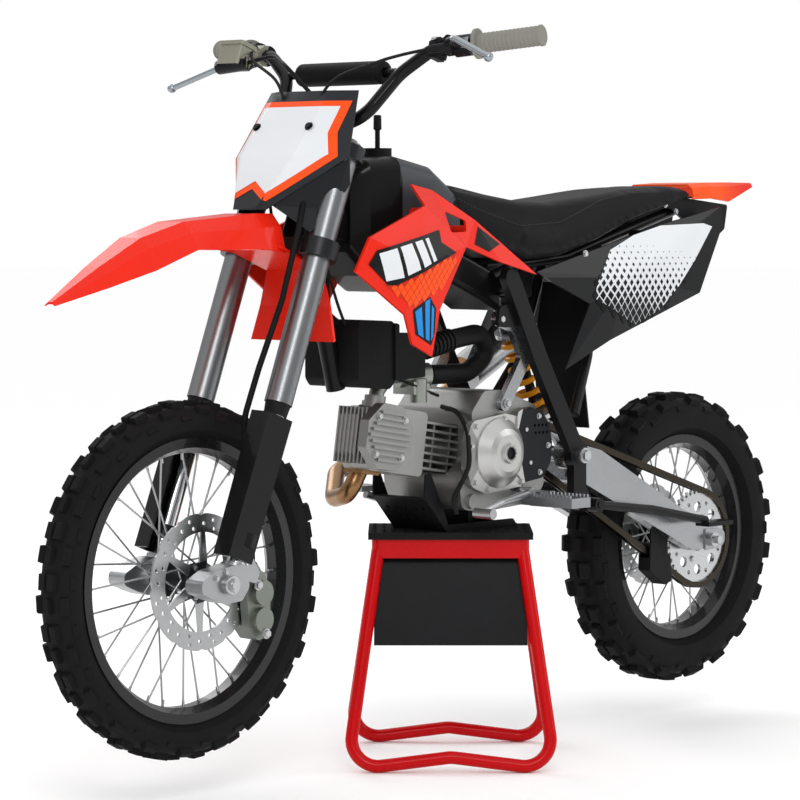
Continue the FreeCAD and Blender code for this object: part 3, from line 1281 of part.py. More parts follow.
keep("drive_sprocket", fused([drive_blank, across(DRIVE.x, DRIVE.z, chain_y - 13, engine_half - 4,
                                                  output_shaft_radius)]))

# Shock absorber and its spring, between the frame's gusset and the swingarm
spring_radius = size("spring_radius", 30)
wire_radius = size("wire_radius", 5)
spring_turns = 6
shock_top = vec(shock_ahead, 0, shock_rise)
shock_low = vec(shock_low_x, 0, shock_low_z)
lean = (shock_low - shock_top).normalize()
upper_seat, lower_seat = 86, 34
shock_body = fused([rod(shock_top, shock_low, 9),
                    across(shock_ahead, shock_rise, -shock_eye_half, shock_eye_half, 16),
                    across(shock_low_x, shock_low_z, -shock_eye_half, shock_eye_half, 16),
                    rod(shock_top + lean * 27, shock_top + lean * (upper_seat - 8), 25),
                    rod(shock_top + lean * (upper_seat - 8), shock_top + lean * upper_seat, 35),
                    rod(shock_low - lean * lower_seat, shock_low - lean * (lower_seat - 8), 35)])
shock_body = shock_body.cut([across(x, z, -30, 30, shock_bolt + journal_gap)
                             for x, z in ((shock_ahead, shock_rise), (shock_low_x, shock_low_z))])
keep("shock_absorber", shock_body, CHASSIS)
spring_length = (shock_low - shock_top).Length - upper_seat - lower_seat - 0.2
coil_length = spring_length - 2 * float(wire_radius) - 0.4
coil_middle = float(spring_radius) - float(wire_radius)
coil = Part.makeHelix(coil_length / spring_turns, coil_length, coil_middle)
wire = Part.Wire([Part.makeCircle(float(wire_radius), vec(coil_middle, 0, 0), Y_AXIS)])
spring = Part.Wire(coil).makePipeShell([wire], True, True)
spring.translate(vec(0, 0, float(wire_radius) + 0.2))
spring.Placement = FreeCAD.Placement(shock_top + lean * upper_seat,
                                     FreeCAD.Rotation(Z_AXIS, lean)).multiply(spring.Placement)
keep("shock_spring", spring, CHASSIS)

# Bodywork
# A blow-moulded tank, faceted shrouds and side panels, a padded seat and the rear fender.
tank_sections = [(262, 34, 880, 1010, 14), (236, 56, 840, 1034, 20), (180, 72, 812, 1040, 24),
                 (100, 74, 868, 1024, 24), (20, 62, 890, 978, 20)]
tank = Part.makeLoft([section(x - float(pivot_x), half, low - float(pivot_z),
                              high - float(pivot_z), corner)
                      for x, half, low, high, corner in tank_sections], True, True)
cap = Part.makeCylinder(24, 20, vec(397, 0, 515))
keep("tank", fused([tank, cap]).cut(frame_shape), CHASSIS)
seat_sections = [(96, 50, 986, 1027, 12), (28, 72, 940, 992, 16), (-50, 84, 885, 976, 18),
                 (-129, 92, 862, 964, 18), (-209, 94, 866, 962, 18), (-319, 94, 895, 973, 18),
                 (-431, 90, 935, 986, 14), (-547, 84, 962, 992, 10), (-606, 76, 975, 989, 6)]
seat = Part.makeLoft([section(x - float(pivot_x), half, low - float(pivot_z),
                              high - float(pivot_z), corner)
                      for x, half, low, high, corner in seat_sections], True, True)
seat_lift = float(rail_radius) + 0.8
seat_under = [(397, 331 + seat_lift)]
seat_under += [(x, z + seat_lift) for x, z, _ in rail_path]
seat_under += [(-403, 181), (397, 181)]
seat_room = side_plate(seat_under, -float(rail_spacing) - 14, float(rail_spacing) + 14, 1)
tail = moulded([ridged(-243, (70, 80, 88), (471, 465, 449)),
                ridged(-426, (62, 71, 78), (482, 475, 453)),
                ridged(-493, (52, 60, 66), (483, 475, 447)),
                ridged(-605, (30, 33, 36), (483, 481, 475))])

panel_wall = size("panel_wall", 5)
shroud_corners = [(408, 88, 474), (370, 100, 464), (282, 118, 414), (132, 128, 320),
                  (229, 128, 343), (319, 132, 369), (387, 134, 265), (400, 128, 187),
                  (451, 130, 209), (477, 138, 258), (589, 132, 331), (557, 134, 386),
                  (417, 128, 438), (437, 146, 341)]
shroud_facets = [(0, 1, 12), (1, 2, 5), (2, 3, 4), (2, 4, 5), (1, 5, 12), (6, 7, 9), (7, 8, 9),
                 (13, 6, 9), (13, 9, 10), (13, 10, 11), (13, 11, 12), (13, 12, 5), (13, 5, 6)]
shroud = panel(shroud_corners, shroud_facets, panel_wall)
shroud_bosses = [across(387, 426, 60, 150, 9), across(297, 396, 60, 150, 9)]
outside = panel([(x, y + 100, z) for x, y, z in shroud_corners], shroud_facets, 100)
shroud_bosses = [b.cut(outside) for b in shroud_bosses]
window = side_plate([(352, 429), (305, 413), (310, 394), (356, 393)], 40, 200, 4)
shroud = fused([shroud] + shroud_bosses).cut([window, tank])
keep("shrouds", both(shroud), CHASSIS)

panel_corners = [(113, 112, 324), (-232, 108, 404), (-323, 104, 419), (-422, 100, 437),
                 (-427, 102, 404), (-346, 112, 280), (-76, 122, 201), (44, 118, 152),
                 (-26, 116, 266), (94, 114, 314), (-117, 126, 311)]
panel_facets = [(10, i, (i + 1) % 10) for i in range(10)]
side_panel = panel(panel_corners, panel_facets, panel_wall)
inside_room = panel([(x, y + 100, z) for x, y, z in panel_corners], panel_facets, 100)
panel_bosses = [across(-203, 387, rail_spacing + 8, 150, 8),
                across(-53, 347, rail_spacing + 10, 150, 8)]
panel_bosses = [b.cut(inside_room) for b in panel_bosses]
keep("side_panels", both(fused([side_panel] + panel_bosses)), CHASSIS)

tail = tail.cut(side_plate([(-163, 411), (-323, 411), (-369, 456), (-369, 521),
                            (-163, 521)], -200, 200, 1))
keep("rear_fender", tail, CHASSIS)
cheek = side_plate([(-248, 466), (-263, 439), (-323, 433), (-403, 386), (-463, 386),
                    (-479, 396), (-488, 441), (-363, 453)], 60, 66, 5)
tray = box(-463, -283, -61, 61, 453, 456)
tray_pieces = fused([cheek, mirrored(cheek), tray])
keep("tail_tray", tray_pieces, CHASSIS)
keep("seat", seat.cut([seat_room, fused([tank, cap]), tray_pieces]), CHASSIS)
keep("inner_mudguard", side_plate([(-101, 301), (-73, 171), (-93, 41), (-97, 41),
                                   (-77, 171), (-105, 301)], -57, 57, 1), CHASSIS)

# Side stand, folded along the swingarm
prop_y = leg_out + running_gap
side_stand = fused([across(stand_pin_x, stand_pin_z, prop_y, prop_y + 22, 13),
                    pipe([vec(stand_pin_x - 4, prop_y + 12, stand_pin_z),
                          vec(-183, prop_y + 16, -107), vec(-330, prop_y + 24, -136)], 8, 60),
                    box(-390, -318, prop_y + 10, prop_y + 42, -146, -138)])
keep("side_stand", side_stand.cut(across(stand_pin_x, stand_pin_z, 100, 150,
                                         stand_pin_radius + journal_gap)), CHASSIS)

# Paddock stand
# Bent red tube legs under a box-section deck; the bike's skid plate rests on the deck's mat.
stand_turn = size("stand_turn", 42.9)
stand_x = size("stand_x", -8)
stand_y = size("stand_y", 14)
stand_tube = size("stand_tube", 11)
deck_half = size("deck_half", 124)
deck_depth = size("deck_depth", 72)
deck_band = size("deck_band", 32)
foot_half = size("foot_half", 187)
foot_depth = size("foot_depth", 176)
foot_rise = size("foot_rise", 17)
mat_lip = size("mat_lip", 6)
mat_thickness = size("mat_thickness", 12)
board_height = size("board_height", 152)
board_thickness = size("board_thickness", 3)
skid_drop = size("skid_drop", 130)
mat_top = crank_z - skid_drop - running_gap
deck_top = mat_top - mat_thickness - face_gap
STAND = FreeCAD.Placement(vec(stand_x, stand_y, 0), FreeCAD.Rotation(Z_AXIS, float(stand_turn)))


def rectangle(x, y):
    x, y = float(x), float(y)
    return [(-x, -y), (x, -y), (x, y), (-x, y)]


deck_low = deck_top - deck_band
deck = floor_plate(rectangle(deck_depth + stand_tube, deck_half + stand_tube), deck_low, deck_top,
                   14)
deck = deck.cut(floor_plate(rectangle(deck_depth - stand_tube, deck_half - stand_tube),
                            deck_low - 1, deck_top + 1, 4))
cross_bars = [box(-deck_depth, deck_depth, y - 10, y + 10, deck_top - 12, deck_top)
              for y in (-45, 45)]
corner_z = float(stand_tube) - 6.9
legs = []
for side in (1, -1):
    foot_x = side * float(foot_depth - stand_tube)
    foot_y = float(foot_half - stand_tube)
    legs.append(pipe([vec(side * float(deck_depth), -deck_half, deck_low + stand_tube),
                      vec(foot_x, -foot_y, corner_z),
                      vec(foot_x, 0, corner_z + foot_rise + 5),
                      vec(foot_x, foot_y, corner_z),
                      vec(side * float(deck_depth), deck_half, deck_low + stand_tube)],
                     stand_tube, 45))
keep("paddock_stand", fused([deck] + cross_bars + legs), STAND)


def stand_box(name, length, width, height, frame):
    piece = doc.addObject("Part::Box", name)
    piece.Label = name
    bind(piece, Length=length, Width=width, Height=height)
    piece.Placement = STAND.multiply(frame)
    nodes.append(piece)
    return piece


stand_box("stand_mat", (deck_depth + stand_tube + mat_lip) * 2,
          (deck_half + stand_tube + mat_lip) * 2, mat_thickness,
          FreeCAD.Placement(vec(-deck_depth - stand_tube - mat_lip,
                                -deck_half - stand_tube - mat_lip, deck_top + face_gap), LEVEL))
board_half = deck_half + 7
splay = math.degrees(math.atan2(float(foot_depth - stand_tube - deck_depth), float(deck_low)))
board_lean = FreeCAD.Rotation(Y_AXIS, 180 - splay)
stand_box("stand_board", board_thickness, board_half * 2, board_height,
          FreeCAD.Placement(vec(deck_depth - 9.2, -board_half, deck_low - running_gap),
                            board_lean))

doc.recompute()

os.makedirs("parts", exist_ok=True)
for piece in doc.Objects:
    if "Invalid" in piece.State or "Error" in piece.State:
        raise RuntimeError("%s did not build: %s" % (piece.Label, piece.State))
for piece in nodes:
    if piece.Shape.isNull() or not piece.Shape.isValid():
        raise RuntimeError("%s has no valid shape" % piece.Label)
for piece in nodes:
    piece.Shape.exportStep("parts/" + piece.Label + ".step")
print(len(nodes), "pieces")
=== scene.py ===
import bpy
import bmesh
import math
from mathutils import Matrix, Quaternion, Vector
from mathutils.bvhtree import BVHTree


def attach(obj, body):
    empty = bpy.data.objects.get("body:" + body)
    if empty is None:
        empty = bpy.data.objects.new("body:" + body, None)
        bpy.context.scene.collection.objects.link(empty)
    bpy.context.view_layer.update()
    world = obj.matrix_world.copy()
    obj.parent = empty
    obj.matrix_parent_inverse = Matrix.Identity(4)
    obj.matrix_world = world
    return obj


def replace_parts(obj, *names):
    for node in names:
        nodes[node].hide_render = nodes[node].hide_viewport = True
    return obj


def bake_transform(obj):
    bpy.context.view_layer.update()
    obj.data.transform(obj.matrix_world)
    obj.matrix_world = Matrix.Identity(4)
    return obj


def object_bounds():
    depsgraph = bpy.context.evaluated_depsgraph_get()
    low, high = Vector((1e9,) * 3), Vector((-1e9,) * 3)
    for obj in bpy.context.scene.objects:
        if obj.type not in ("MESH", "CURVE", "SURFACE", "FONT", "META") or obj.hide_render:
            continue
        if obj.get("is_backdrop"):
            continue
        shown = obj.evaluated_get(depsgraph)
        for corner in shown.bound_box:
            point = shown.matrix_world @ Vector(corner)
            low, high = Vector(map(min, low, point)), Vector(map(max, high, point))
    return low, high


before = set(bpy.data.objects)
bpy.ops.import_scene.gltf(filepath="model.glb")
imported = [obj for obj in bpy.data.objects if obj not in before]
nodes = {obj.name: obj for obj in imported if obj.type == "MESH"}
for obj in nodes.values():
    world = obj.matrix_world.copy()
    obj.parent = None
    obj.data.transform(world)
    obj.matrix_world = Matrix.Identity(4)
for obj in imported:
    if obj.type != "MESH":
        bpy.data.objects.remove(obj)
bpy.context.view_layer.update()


# Wheels
# Knobby tyres moulded from black rubber, seated on black anodised alloy rims. Steel spokes with
# threaded nipples hold each rim to a cast hub; petal discs are riveted to black carriers.
def colour(text):
    """A colour as it is picked on screen, turned to linear light."""
    parts = [int(text[i:i + 2], 16) / 255 for i in (1, 3, 5)]
    linear = [c / 12.92 if c <= 0.04045 else ((c + 0.055) / 1.055) ** 2.4 for c in parts]
    return (*linear, 1.0)


def add(tree, kind, settings=(), **sockets):
    """Adds one shader node with its settings; a socket gets a value or another node's output."""
    node = tree.nodes.new("ShaderNode" + kind)
    for name, value in dict(settings).items():
        setattr(node, name, value)
    for name, value in sockets.items():
        socket = node.inputs[int(name[1:])] if name[1:].isdigit() else node.inputs[
            name.replace("_", " ")]
        if isinstance(value, bpy.types.NodeSocket):
            tree.links.new(value, socket)
        else:
            socket.default_value = value
    return node


def material(name, base, slot, rough, metal=0.0, grain=400.0, bump=0.06, shade=0.06, coat=0.0,
             mottle=9.0, shine=0.10):
    """A surface with small colour drift, uneven gloss and a fine grain in the part's own space.
    grain and mottle are waves per metre: 400 is a grain of 2.5 mm and 9 a drift of 110 mm. The
    real grain of these surfaces is about 0.2 mm, too fine to show, so it is drawn coarser."""
    gloss_swing = 0.07
    grain_depth = 0.0006
    metal_shine = 0.5
    made = bpy.data.materials.new(name)
    made.use_nodes = True
    made["slot"] = slot
    tree = made.node_tree
    shader = tree.nodes["Principled BSDF"]
    where = add(tree, "TexCoord").outputs["Object"]
    drift = add(tree, "TexNoise", Vector=where, Scale=mottle, Detail=4.0)
    fine = add(tree, "TexNoise", Vector=where, Scale=grain, Detail=3.0)
    tone = add(tree, "MapRange", Value=drift.outputs["Fac"], i1=0.3, i2=0.7, i3=1 - shade,
               i4=1 + shade)
    tint = add(tree, "MixRGB", {"blend_type": "MULTIPLY"}, Fac=1.0, Color1=colour(base),
               Color2=tone.outputs["Result"])
    gloss = add(tree, "MapRange", Value=fine.outputs["Fac"], i1=0.2, i2=0.8,
                i3=max(rough - gloss_swing, 0.03), i4=min(rough + gloss_swing, 1.0))
    relief = add(tree, "Bump", Strength=bump, Distance=grain_depth, Height=fine.outputs["Fac"])
    tree.links.new(tint.outputs["Color"], shader.inputs["Base Color"])
    tree.links.new(gloss.outputs["Result"], shader.inputs["Roughness"])
    tree.links.new(relief.outputs["Normal"], shader.inputs["Normal"])
    shader.inputs["Metallic"].default_value = metal
    shader.inputs["Coat Weight"].default_value = coat
    shader.inputs["Specular IOR Level"].default_value = metal_shine if metal > 0.5 else shine
    return made


def wear(names, made):
    """Gives CAD nodes their material."""
    for name in names.split():
        nodes[name].data.materials.clear()
        nodes[name].data.materials.append(made)


def part_wear(name, made, pick):
    """Gives the faces of a CAD node that pick says yes to a second material."""
    data = nodes[name].data
    data.materials.append(made)
    place = len(data.materials) - 1
    for face in data.polygons:
        if pick(face.center):
            face.material_index = place


def new_piece(name):
    """An empty piece, the only one selected."""
    piece = bpy.data.objects.new(name, bpy.data.meshes.new(name))
    bpy.context.scene.collection.objects.link(piece)
    bpy.ops.object.select_all(action="DESELECT")
    piece.select_set(True)
    bpy.context.view_layer.objects.active = piece
    return piece


def finish_piece(piece, made, body, angle=40):
    """Gives the selected piece its material and body and shades it smooth up to an angle."""
    piece.data.materials.append(made)
    bpy.ops.object.shade_smooth_by_angle(angle=math.radians(angle))
    if body:
        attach(piece, body)
    return piece


def open_piece(name):
    """An empty piece, open in edit mode for primitives to be added to it."""
    piece = new_piece(name)
    bpy.ops.object.mode_set(mode="EDIT")
    return piece


def close_piece(piece, made, body, angle=40):
    """Ends the edit mode of a piece with all its faces outwards, and finishes it."""
    bpy.ops.mesh.select_all(action="SELECT")
    bpy.ops.mesh.normals_make_consistent(inside=False)
    bpy.ops.object.mode_set(mode="OBJECT")
    finish_piece(piece, made, body, angle)


def show(name, bm, made, body, angle=40):
    """A piece from mesh code, for forms that primitives can't give, finished as the others."""
    piece = new_piece(name)
    bmesh.ops.recalc_face_normals(bm, faces=bm.faces)
    bm.to_mesh(piece.data)
    bm.free()
    return finish_piece(piece, made, body, angle)


def cone(place, way, foot, top, height, sides):
    """A blunt cone added to the open piece, its foot on a place, along a way."""
    way = Vector(way).normalized()
    bpy.ops.mesh.primitive_cone_add(vertices=sides, radius1=foot, radius2=top, depth=height,
                                    calc_uvs=False, location=Vector(place) + way * height / 2,
                                    rotation=way.to_track_quat("Z", "Y").to_euler())


def bolts(name, spots, made, body):
    """Hexagon heads on round washers; a spot is (place, way, radius, height)."""
    washer_foot, washer_rim, washer_height = 1.35, 1.3, 0.3
    head_rim, head_sunk, head_height = 0.94, 0.25, 0.8
    piece = open_piece(name)
    for place, way, radius, height in spots:
        cone(place, way, radius * washer_foot, radius * washer_rim, height * washer_height, 18)
        start = Vector(place) + Vector(way).normalized() * height * head_sunk
        cone(start, way, radius, radius * head_rim, height * head_height, 6)
    close_piece(piece, made, body, 30)


def lug(bm, turn, size, base, top):
    """A tread block that tapers to its top, with its edges eased."""
    length, width = size
    worn_edge = 0.0012
    corners = []
    for z, share in ((base, 1.12), (top - worn_edge, 0.98), (top, 0.88)):
        corners.append([bm.verts.new(turn @ Vector((sx * length * share / 2,
                                                    sy * width * share / 2, z)))
                        for sx, sy in ((-1, -1), (1, -1), (1, 1), (-1, 1))])
    for low, high in zip(corners, corners[1:]):
        for i in range(4):
            bm.faces.new([low[i], low[(i + 1) % 4], high[(i + 1) % 4], high[i]])
    bm.faces.new(corners[-1])


def tyre(name, node, centre, radius, half, flange, bead, depth, rows, made, body):
    """A carcass turned about the axle with rows of centre, side and shoulder blocks. Each pitch
    of the tread has two lines of blocks: their place across, width and length as shares, and how
    deep they sink into the carcass."""
    lines = ((0.27, ((0.26, 0.40, 0.32, 0.0), (0.90, 0.22, 0.26, 0.019))),
             (0.73, ((0.0, 0.34, 0.28, 0.0), (0.74, 0.34, 0.33, 0.008))))
    shoulder, side_lean, shoulder_lean = 0.8, 0.62, 0.85
    root_depth = 0.006
    bm = bmesh.new()
    base = radius - depth
    profile = [(bead, flange - 0.011), (bead + 0.0005, flange + 0.003),
               (half * 0.93, flange + 0.012), (half * 0.985, (flange + base) / 2 - 0.004),
               (half * 0.95, base - 0.018), (half * 0.80, base - 0.008),
               (half * 0.55, base - 0.002), (half * 0.25, base)]
    outline = [(-y, r) for y, r in profile] + [(y, r) for y, r in reversed(profile)]
    steps = 120
    rings = []
    for k in range(steps):
        turn = 2 * math.pi * k / steps
        rings.append([bm.verts.new((r * math.sin(turn), y, r * math.cos(turn)))
                      for y, r in outline])
    for k in range(steps):
        here, there = rings[k], rings[(k + 1) % steps]
        for i in range(len(outline) - 1):
            bm.faces.new([here[i], here[i + 1], there[i + 1], there[i]])
        bm.faces.new([here[-1], here[0], there[0], there[-1]])
    pitch = 2 * math.pi / rows
    pitch_length = pitch * radius
    for k in range(rows):
        for share, blocks in lines:
            about = Matrix.Rotation(pitch * (k + share), 4, "Y")
            for y, width, length, sink in blocks:
                lean = 0.0
                if y > 0.5:
                    lean = shoulder_lean if y > shoulder else side_lean
                for side in ((1, -1) if y else (1,)):
                    tip_over = Matrix.Rotation(-side * lean, 4, "X")
                    middle = Matrix.Translation((0, side * y * half, base - sink))
                    lug(bm, about @ middle @ tip_over, (pitch_length * length, half * width),
                        -root_depth, depth if y < shoulder else depth * 0.5)
    for vert in bm.verts:
        vert.co += Vector(centre)
    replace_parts(show(name, bm, made, body, 32), node)


# Rubber filled with carbon black: almost black, dull and a little dusty.
tread_rubber = material("tread_rubber", "#151516", "rubber_tyre", 0.72, grain=260, bump=0.25,
                        shade=0.14)
# The two axles' middles, in metres.
FRONT = Vector((0.618, 0, 0.359))
REAR = Vector((-0.636, 0, 0.341))
tyre("front_tread", "front_tyre", FRONT, 0.288, 0.036, 0.229, 0.0217, 0.009, 22, tread_rubber,
     "front_wheel")
tyre("rear_tread", "rear_tyre", REAR, 0.270, 0.047, 0.191, 0.0257, 0.011, 19, tread_rubber,
     "rear_wheel")
# Anodised aluminium: black with a soft sheen under its clear skin.
rim_anodising = material("anodised_rim", "#18181a", "black_alloy", 0.30, 0.6, grain=500, coat=0.3)
# Drawn stainless wire: light grey, with a narrow bright glint.
spoke_steel = material("spoke_steel", "#a8a9ab", "cut_steel", 0.28, 1.0, grain=900)
# Ground stainless plate: pale metal whose glint is broken by fine marks.
ground_steel = material("ground_steel", "#a9aaab", "cut_steel", 0.30, 1.0, grain=900, bump=0.15)
# Zinc-plated steel: pale metal with an even, soft glint.
zinc_steel = material("zinc_steel", "#b9babb", "cut_steel", 0.30, 1.0, grain=700)
wear("front_rim rear_rim", rim_anodising)
# Cast hub under black enamel: dark, with the grain of the mould; its spokes are bare.
wear("front_hub rear_hub", material("hub_casting", "#232426", "black_alloy", 0.42, 0.5, 300, 0.2))
for hub, centre in (("front_hub", FRONT), ("rear_hub", REAR)):
    part_wear(hub, spoke_steel,
              lambda p, c=centre: math.hypot(p.x - c.x, p.z - c.z) > 0.031)
wear("front_disc rear_disc", ground_steel)
# Anodised carrier: dark metal, a shade lighter than the rim.
carrier_alloy = material("disc_carrier", "#2b2c2e", "black_alloy", 0.4, 0.6)
for disc, centre in (("front_disc", FRONT), ("rear_disc", REAR)):
    part_wear(disc, carrier_alloy,
              lambda p, c=centre: math.hypot(p.x - c.x, p.z - c.z) < 0.033)
wear("front_axle rear_axle", zinc_steel)
# Spoke nipples stand inwards from the rim's well, set off to either side in turn.
spokes, nipple_length, nipple_offset = 32, 0.014, 0.003
for name, centre, well_radius, body in (("front_nipples", FRONT, 0.203, "front_wheel"),
                                        ("rear_nipples", REAR, 0.165, "rear_wheel")):
    piece = open_piece(name)
    for i in range(spokes):
        turn = 2 * math.pi * i / spokes
        out = Vector((math.cos(turn), 0, math.sin(turn)))
        side = nipple_offset if i % 2 == 0 else -nipple_offset
        foot = centre + out * (well_radius - 0.003 + nipple_length / 2) + Vector((0, side, 0))
        cone(foot, -out, 0.0027, 0.0021, nipple_length, 8)
    close_piece(piece, zinc_steel, body)


def on_circle(centre, radius, y, count, first=0.0):
    """Evenly spaced places on a circle about an axle, on its left side."""
    turns = [2 * math.pi * i / count + first for i in range(count)]
    return [centre + Vector((radius * math.cos(a), y, radius * math.sin(a))) for a in turns]


bolts("front_disc_rivets", [(place, (0, 1, 0), 0.0036, 0.003)
                            for place in on_circle(FRONT, 0.0265, 0.0475, 6)],
      zinc_steel, "front_wheel")
bolts("sprocket_bolts", [(place, (0, 1, 0), 0.0048, 0.004)
                         for place in on_circle(REAR, 0.041, 0.068, 4, 0.4)],
      zinc_steel, "rear_wheel")

# Frame and swingarm
# Black powder-coated steel tubes welded at their joints, and a polished alloy swingarm with a
# chain slider, adjusters and a coil-over shock.

# Powder coat on steel: black with a soft, even highlight.
frame_enamel = material("frame_enamel", "#121214", "black_steel", 0.36, 0.1, coat=0.12)
wear("frame side_stand", frame_enamel)
# Polished aluminium: light grey metal that mirrors the lamps softly.
polished = material("polished_alloy", "#9c9ea0", "grey_alloy", 0.26, 1.0, grain=500)
wear("swingarm engine_hangers", polished)
# Nickel-plated steel: grey metal with a blurred glint.
plated_steel = material("plated_steel", "#a3a4a6", "cut_steel", 0.32, 1.0)
wear("swingarm_bolt gear_lever brake_pedal kick_starter", plated_steel)
# Cast steel with its foundry skin: grey metal with a coarse grain.
wear("foot_pegs", material("cast_steel", "#96979a", "grey_alloy", 0.4, 1.0, grain=240, bump=0.2))
# The damper's dark plated body, and its turned alloy collar and lower eye.
wear("shock_absorber", material("damper_steel", "#2b2c2f", "shock_steel", 0.34, 0.7))
part_wear("shock_absorber", material("shock_rings", "#c9cacc", "shock_steel", 0.3, 0.8),
          lambda p: 0.722 < p.z < 0.74 or p.z < 0.60)
# Spring enamel: amber under a clear gloss.
wear("shock_spring", material("spring_enamel", "#e8960e", "spring_enamel", 0.32, coat=0.3))
# Moulded nylon: black and waxy, with no sharp glint.
slider_nylon = material("slider_nylon", "#1b1b1b", "black_plastic", 0.55, grain=250, bump=0.15)
wear("chain_guide", slider_nylon)

# Engine
# Sand-cast alloy cases in grey, with machined covers and a finned barrel, an octagonal ribbed
# head cover, a black sprocket cover and a bronzed header pipe.

# Sand-cast aluminium: mid grey, with a rough grain that breaks the glint.
cast_alloy = material("cast_alloy", "#8f8f8d", "engine_alloy", 0.42, 0.9, 300, 0.3)
# Bead-blasted aluminium of the machined cover: paler and smoother than the cases.
bright_cast = material("bright_casting", "#b9b9b7", "engine_alloy", 0.34, 0.9, 360, 0.2)
wear("engine_case engine_covers", cast_alloy)
part_wear("engine_covers", bright_cast, lambda p: p.y > 0.1 and abs(p.x + 0.04) < 0.064)
# Glass-filled nylon of the sprocket cover: black and dull.
cover_black = material("cover_black", "#202123", "black_plastic", 0.5, 0.2)


def from_stator(p):
    """How far a place is from the stator cover's middle, in the side view."""
    return math.hypot(p.x + 0.040, p.z - 0.533)


part_wear("engine_covers", cover_black,
          lambda p: p.y > 0.0 and p.x < -0.098 and from_stator(p) > 0.066)
part_wear("engine_covers", cover_black, lambda p: p.y > 0.1 and from_stator(p) < 0.012)
# Cast barrel and fins: matt grey metal with a coarse grain.
wear("engine_cylinder", material("barrel_alloy", "#979795", "engine_alloy", 0.46, 0.85, 300, 0.3))
# Heat-tinted steel: brown metal with a clear glint. The muffler is bare alloy.
wear("exhaust", material("bronzed_steel", "#8c6a48", "exhaust_steel", 0.3, 1.0))
part_wear("exhaust", material("muffler_alloy", "#9a9b9d", "exhaust_steel", 0.3, 1.0),
          lambda p: p.x < -0.225)
# Die-cast zinc alloy: faintly green grey, satin.
wear("intake_manifold carburettor", material("die_cast_alloy", "#9b9d97", "engine_alloy", 0.42,
                                              0.9))
# Moulded hose rubber: black with a faint sheen.
hose_rubber = material("hose_rubber", "#131314", "black_rubber", 0.5)
wear("intake_hose brake_hose", hose_rubber)
# Enamel on pressed plate: black, duller than the frame.
wear("skid_plate", material("skid_enamel", "#161618", "black_steel", 0.42, 0.2))


def on_cylinder(u, y, w):
    """A point of the tilted cylinder, from its distance along and across the bore."""
    tilt = math.radians(9)
    return Vector((-0.034 + u * math.cos(tilt) - w * math.sin(tilt), y,
                   0.530 + u * math.sin(tilt) + w * math.cos(tilt)))


# Four bolts on the head cover, eight around the stator cover and three on the sprocket cover.
head_circle = 0.045
cover_bolts = []
for turn in [math.pi * (0.25 + 0.5 * i) for i in range(4)]:
    place = on_cylinder(0.249 + head_circle * math.cos(turn), 0.0772,
                        0.002 + head_circle * math.sin(turn))
    cover_bolts.append((place, (0, 1, 0), 0.005, 0.005))
for x, z in ((0.034, 0.548), (0.022, 0.581), (-0.052, 0.591), (-0.106, 0.570),
             (-0.117, 0.512), (-0.096, 0.480), (-0.008, 0.472), (0.024, 0.485)):
    cover_bolts.append((Vector((x, 0.1002, z)), (0, 1, 0), 0.0042, 0.005))
for x, z in ((-0.139, 0.592), (-0.164, 0.540), (-0.142, 0.494)):
    cover_bolts.append((Vector((x, 0.1032, z)), (0, 1, 0), 0.004, 0.004))
bolts("cover_bolts", cover_bolts, zinc_steel, "root")
# The hangers' upper and lower bolts and the swingarm's nuts, on both sides.
hanger_bolts = []
for x, y, z, radius, height in ((-0.042, 0.1005, 0.763, 0.006, 0.006),
                                (-0.058, 0.1005, 0.617, 0.006, 0.006),
                                (-0.237, 0.126, 0.519, 0.0105, 0.008)):
    for side in (1, -1):
        hanger_bolts.append((Vector((x, side * y, z)), (0, side, 0), radius, height))
bolts("hanger_bolts", hanger_bolts, zinc_steel, "root")

# Chain drive
# A roller chain of riveted steel plates, wet with oil, runs from a small drive sprocket to a
# drilled sprocket that is bolted to the rear hub.

# Oiled steel: brown-black metal with a wet glint.
chain_steel = material("oiled_steel", "#37322a", "chain_steel", 0.36, 1.0)
wear("chain", chain_steel)
# Drilled and tumbled alloy: pale metal, bright on its teeth.
wear("drive_sprocket rear_sprocket", material("sprocket_alloy", "#bcbdbe", "cut_steel", 0.28,
                                              1.0))

# Front end
# An upside-down fork: polished grey outer tubes in black clamps, chromed legs, cast shoes and
# black guards. The bar carries grips, levers, a padded brace and cables.
rake = math.radians(21)
STEER = Matrix.Translation((0.376336, 0, 0.853221)) @ Matrix.Rotation(-rake, 4, "Y")


def steer(x, y, z):
    """A point given from the lower clamp along the steering axis, in metres."""
    return STEER @ Vector((x, y, z))


def steering_height(p):
    """How far a place is above the lower clamp, along the steering axis."""
    return (STEER.inverted() @ p).z


# Shot-blasted casting of the fork's feet: light grey metal with a fine grain.
cast_shoe = material("cast_shoe", "#a3a5a7", "grey_alloy", 0.34, 0.9, 340, 0.2)
wear("fork_left fork_right", cast_shoe)
# Hard-anodised drawn tube: mid-grey metal with long, soft glints.
outer_tube = material("outer_tube", "#7e8082", "grey_alloy", 0.33, 1.0, grain=700)
# Hard chrome of the sliding legs: the brightest and sharpest mirror on the bike.
chrome = material("chromed_steel", "#d2d3d5", "cut_steel", 0.12, 1.0, grain=900, bump=0.02)
# Nitrile rubber of seals, hoses and cable sleeves: black, satin.
seal_black = material("seal_black", "#1b1b1c", "black_rubber", 0.5)
seal_top, seal_foot, leg_foot = -0.236, -0.262, -0.50
for leg in ("fork_left", "fork_right"):
    part_wear(leg, outer_tube, lambda p: steering_height(p) > seal_top)
    part_wear(leg, seal_black, lambda p: seal_foot < steering_height(p) <= seal_top)
    part_wear(leg, chrome, lambda p: leg_foot < steering_height(p) <= seal_foot)
# Black anodised clamps: dark, with a metal sheen.
clamp_alloy = material("clamp_alloy", "#1f2022", "black_steel", 0.36, 0.6)
wear("triple_clamps", clamp_alloy)
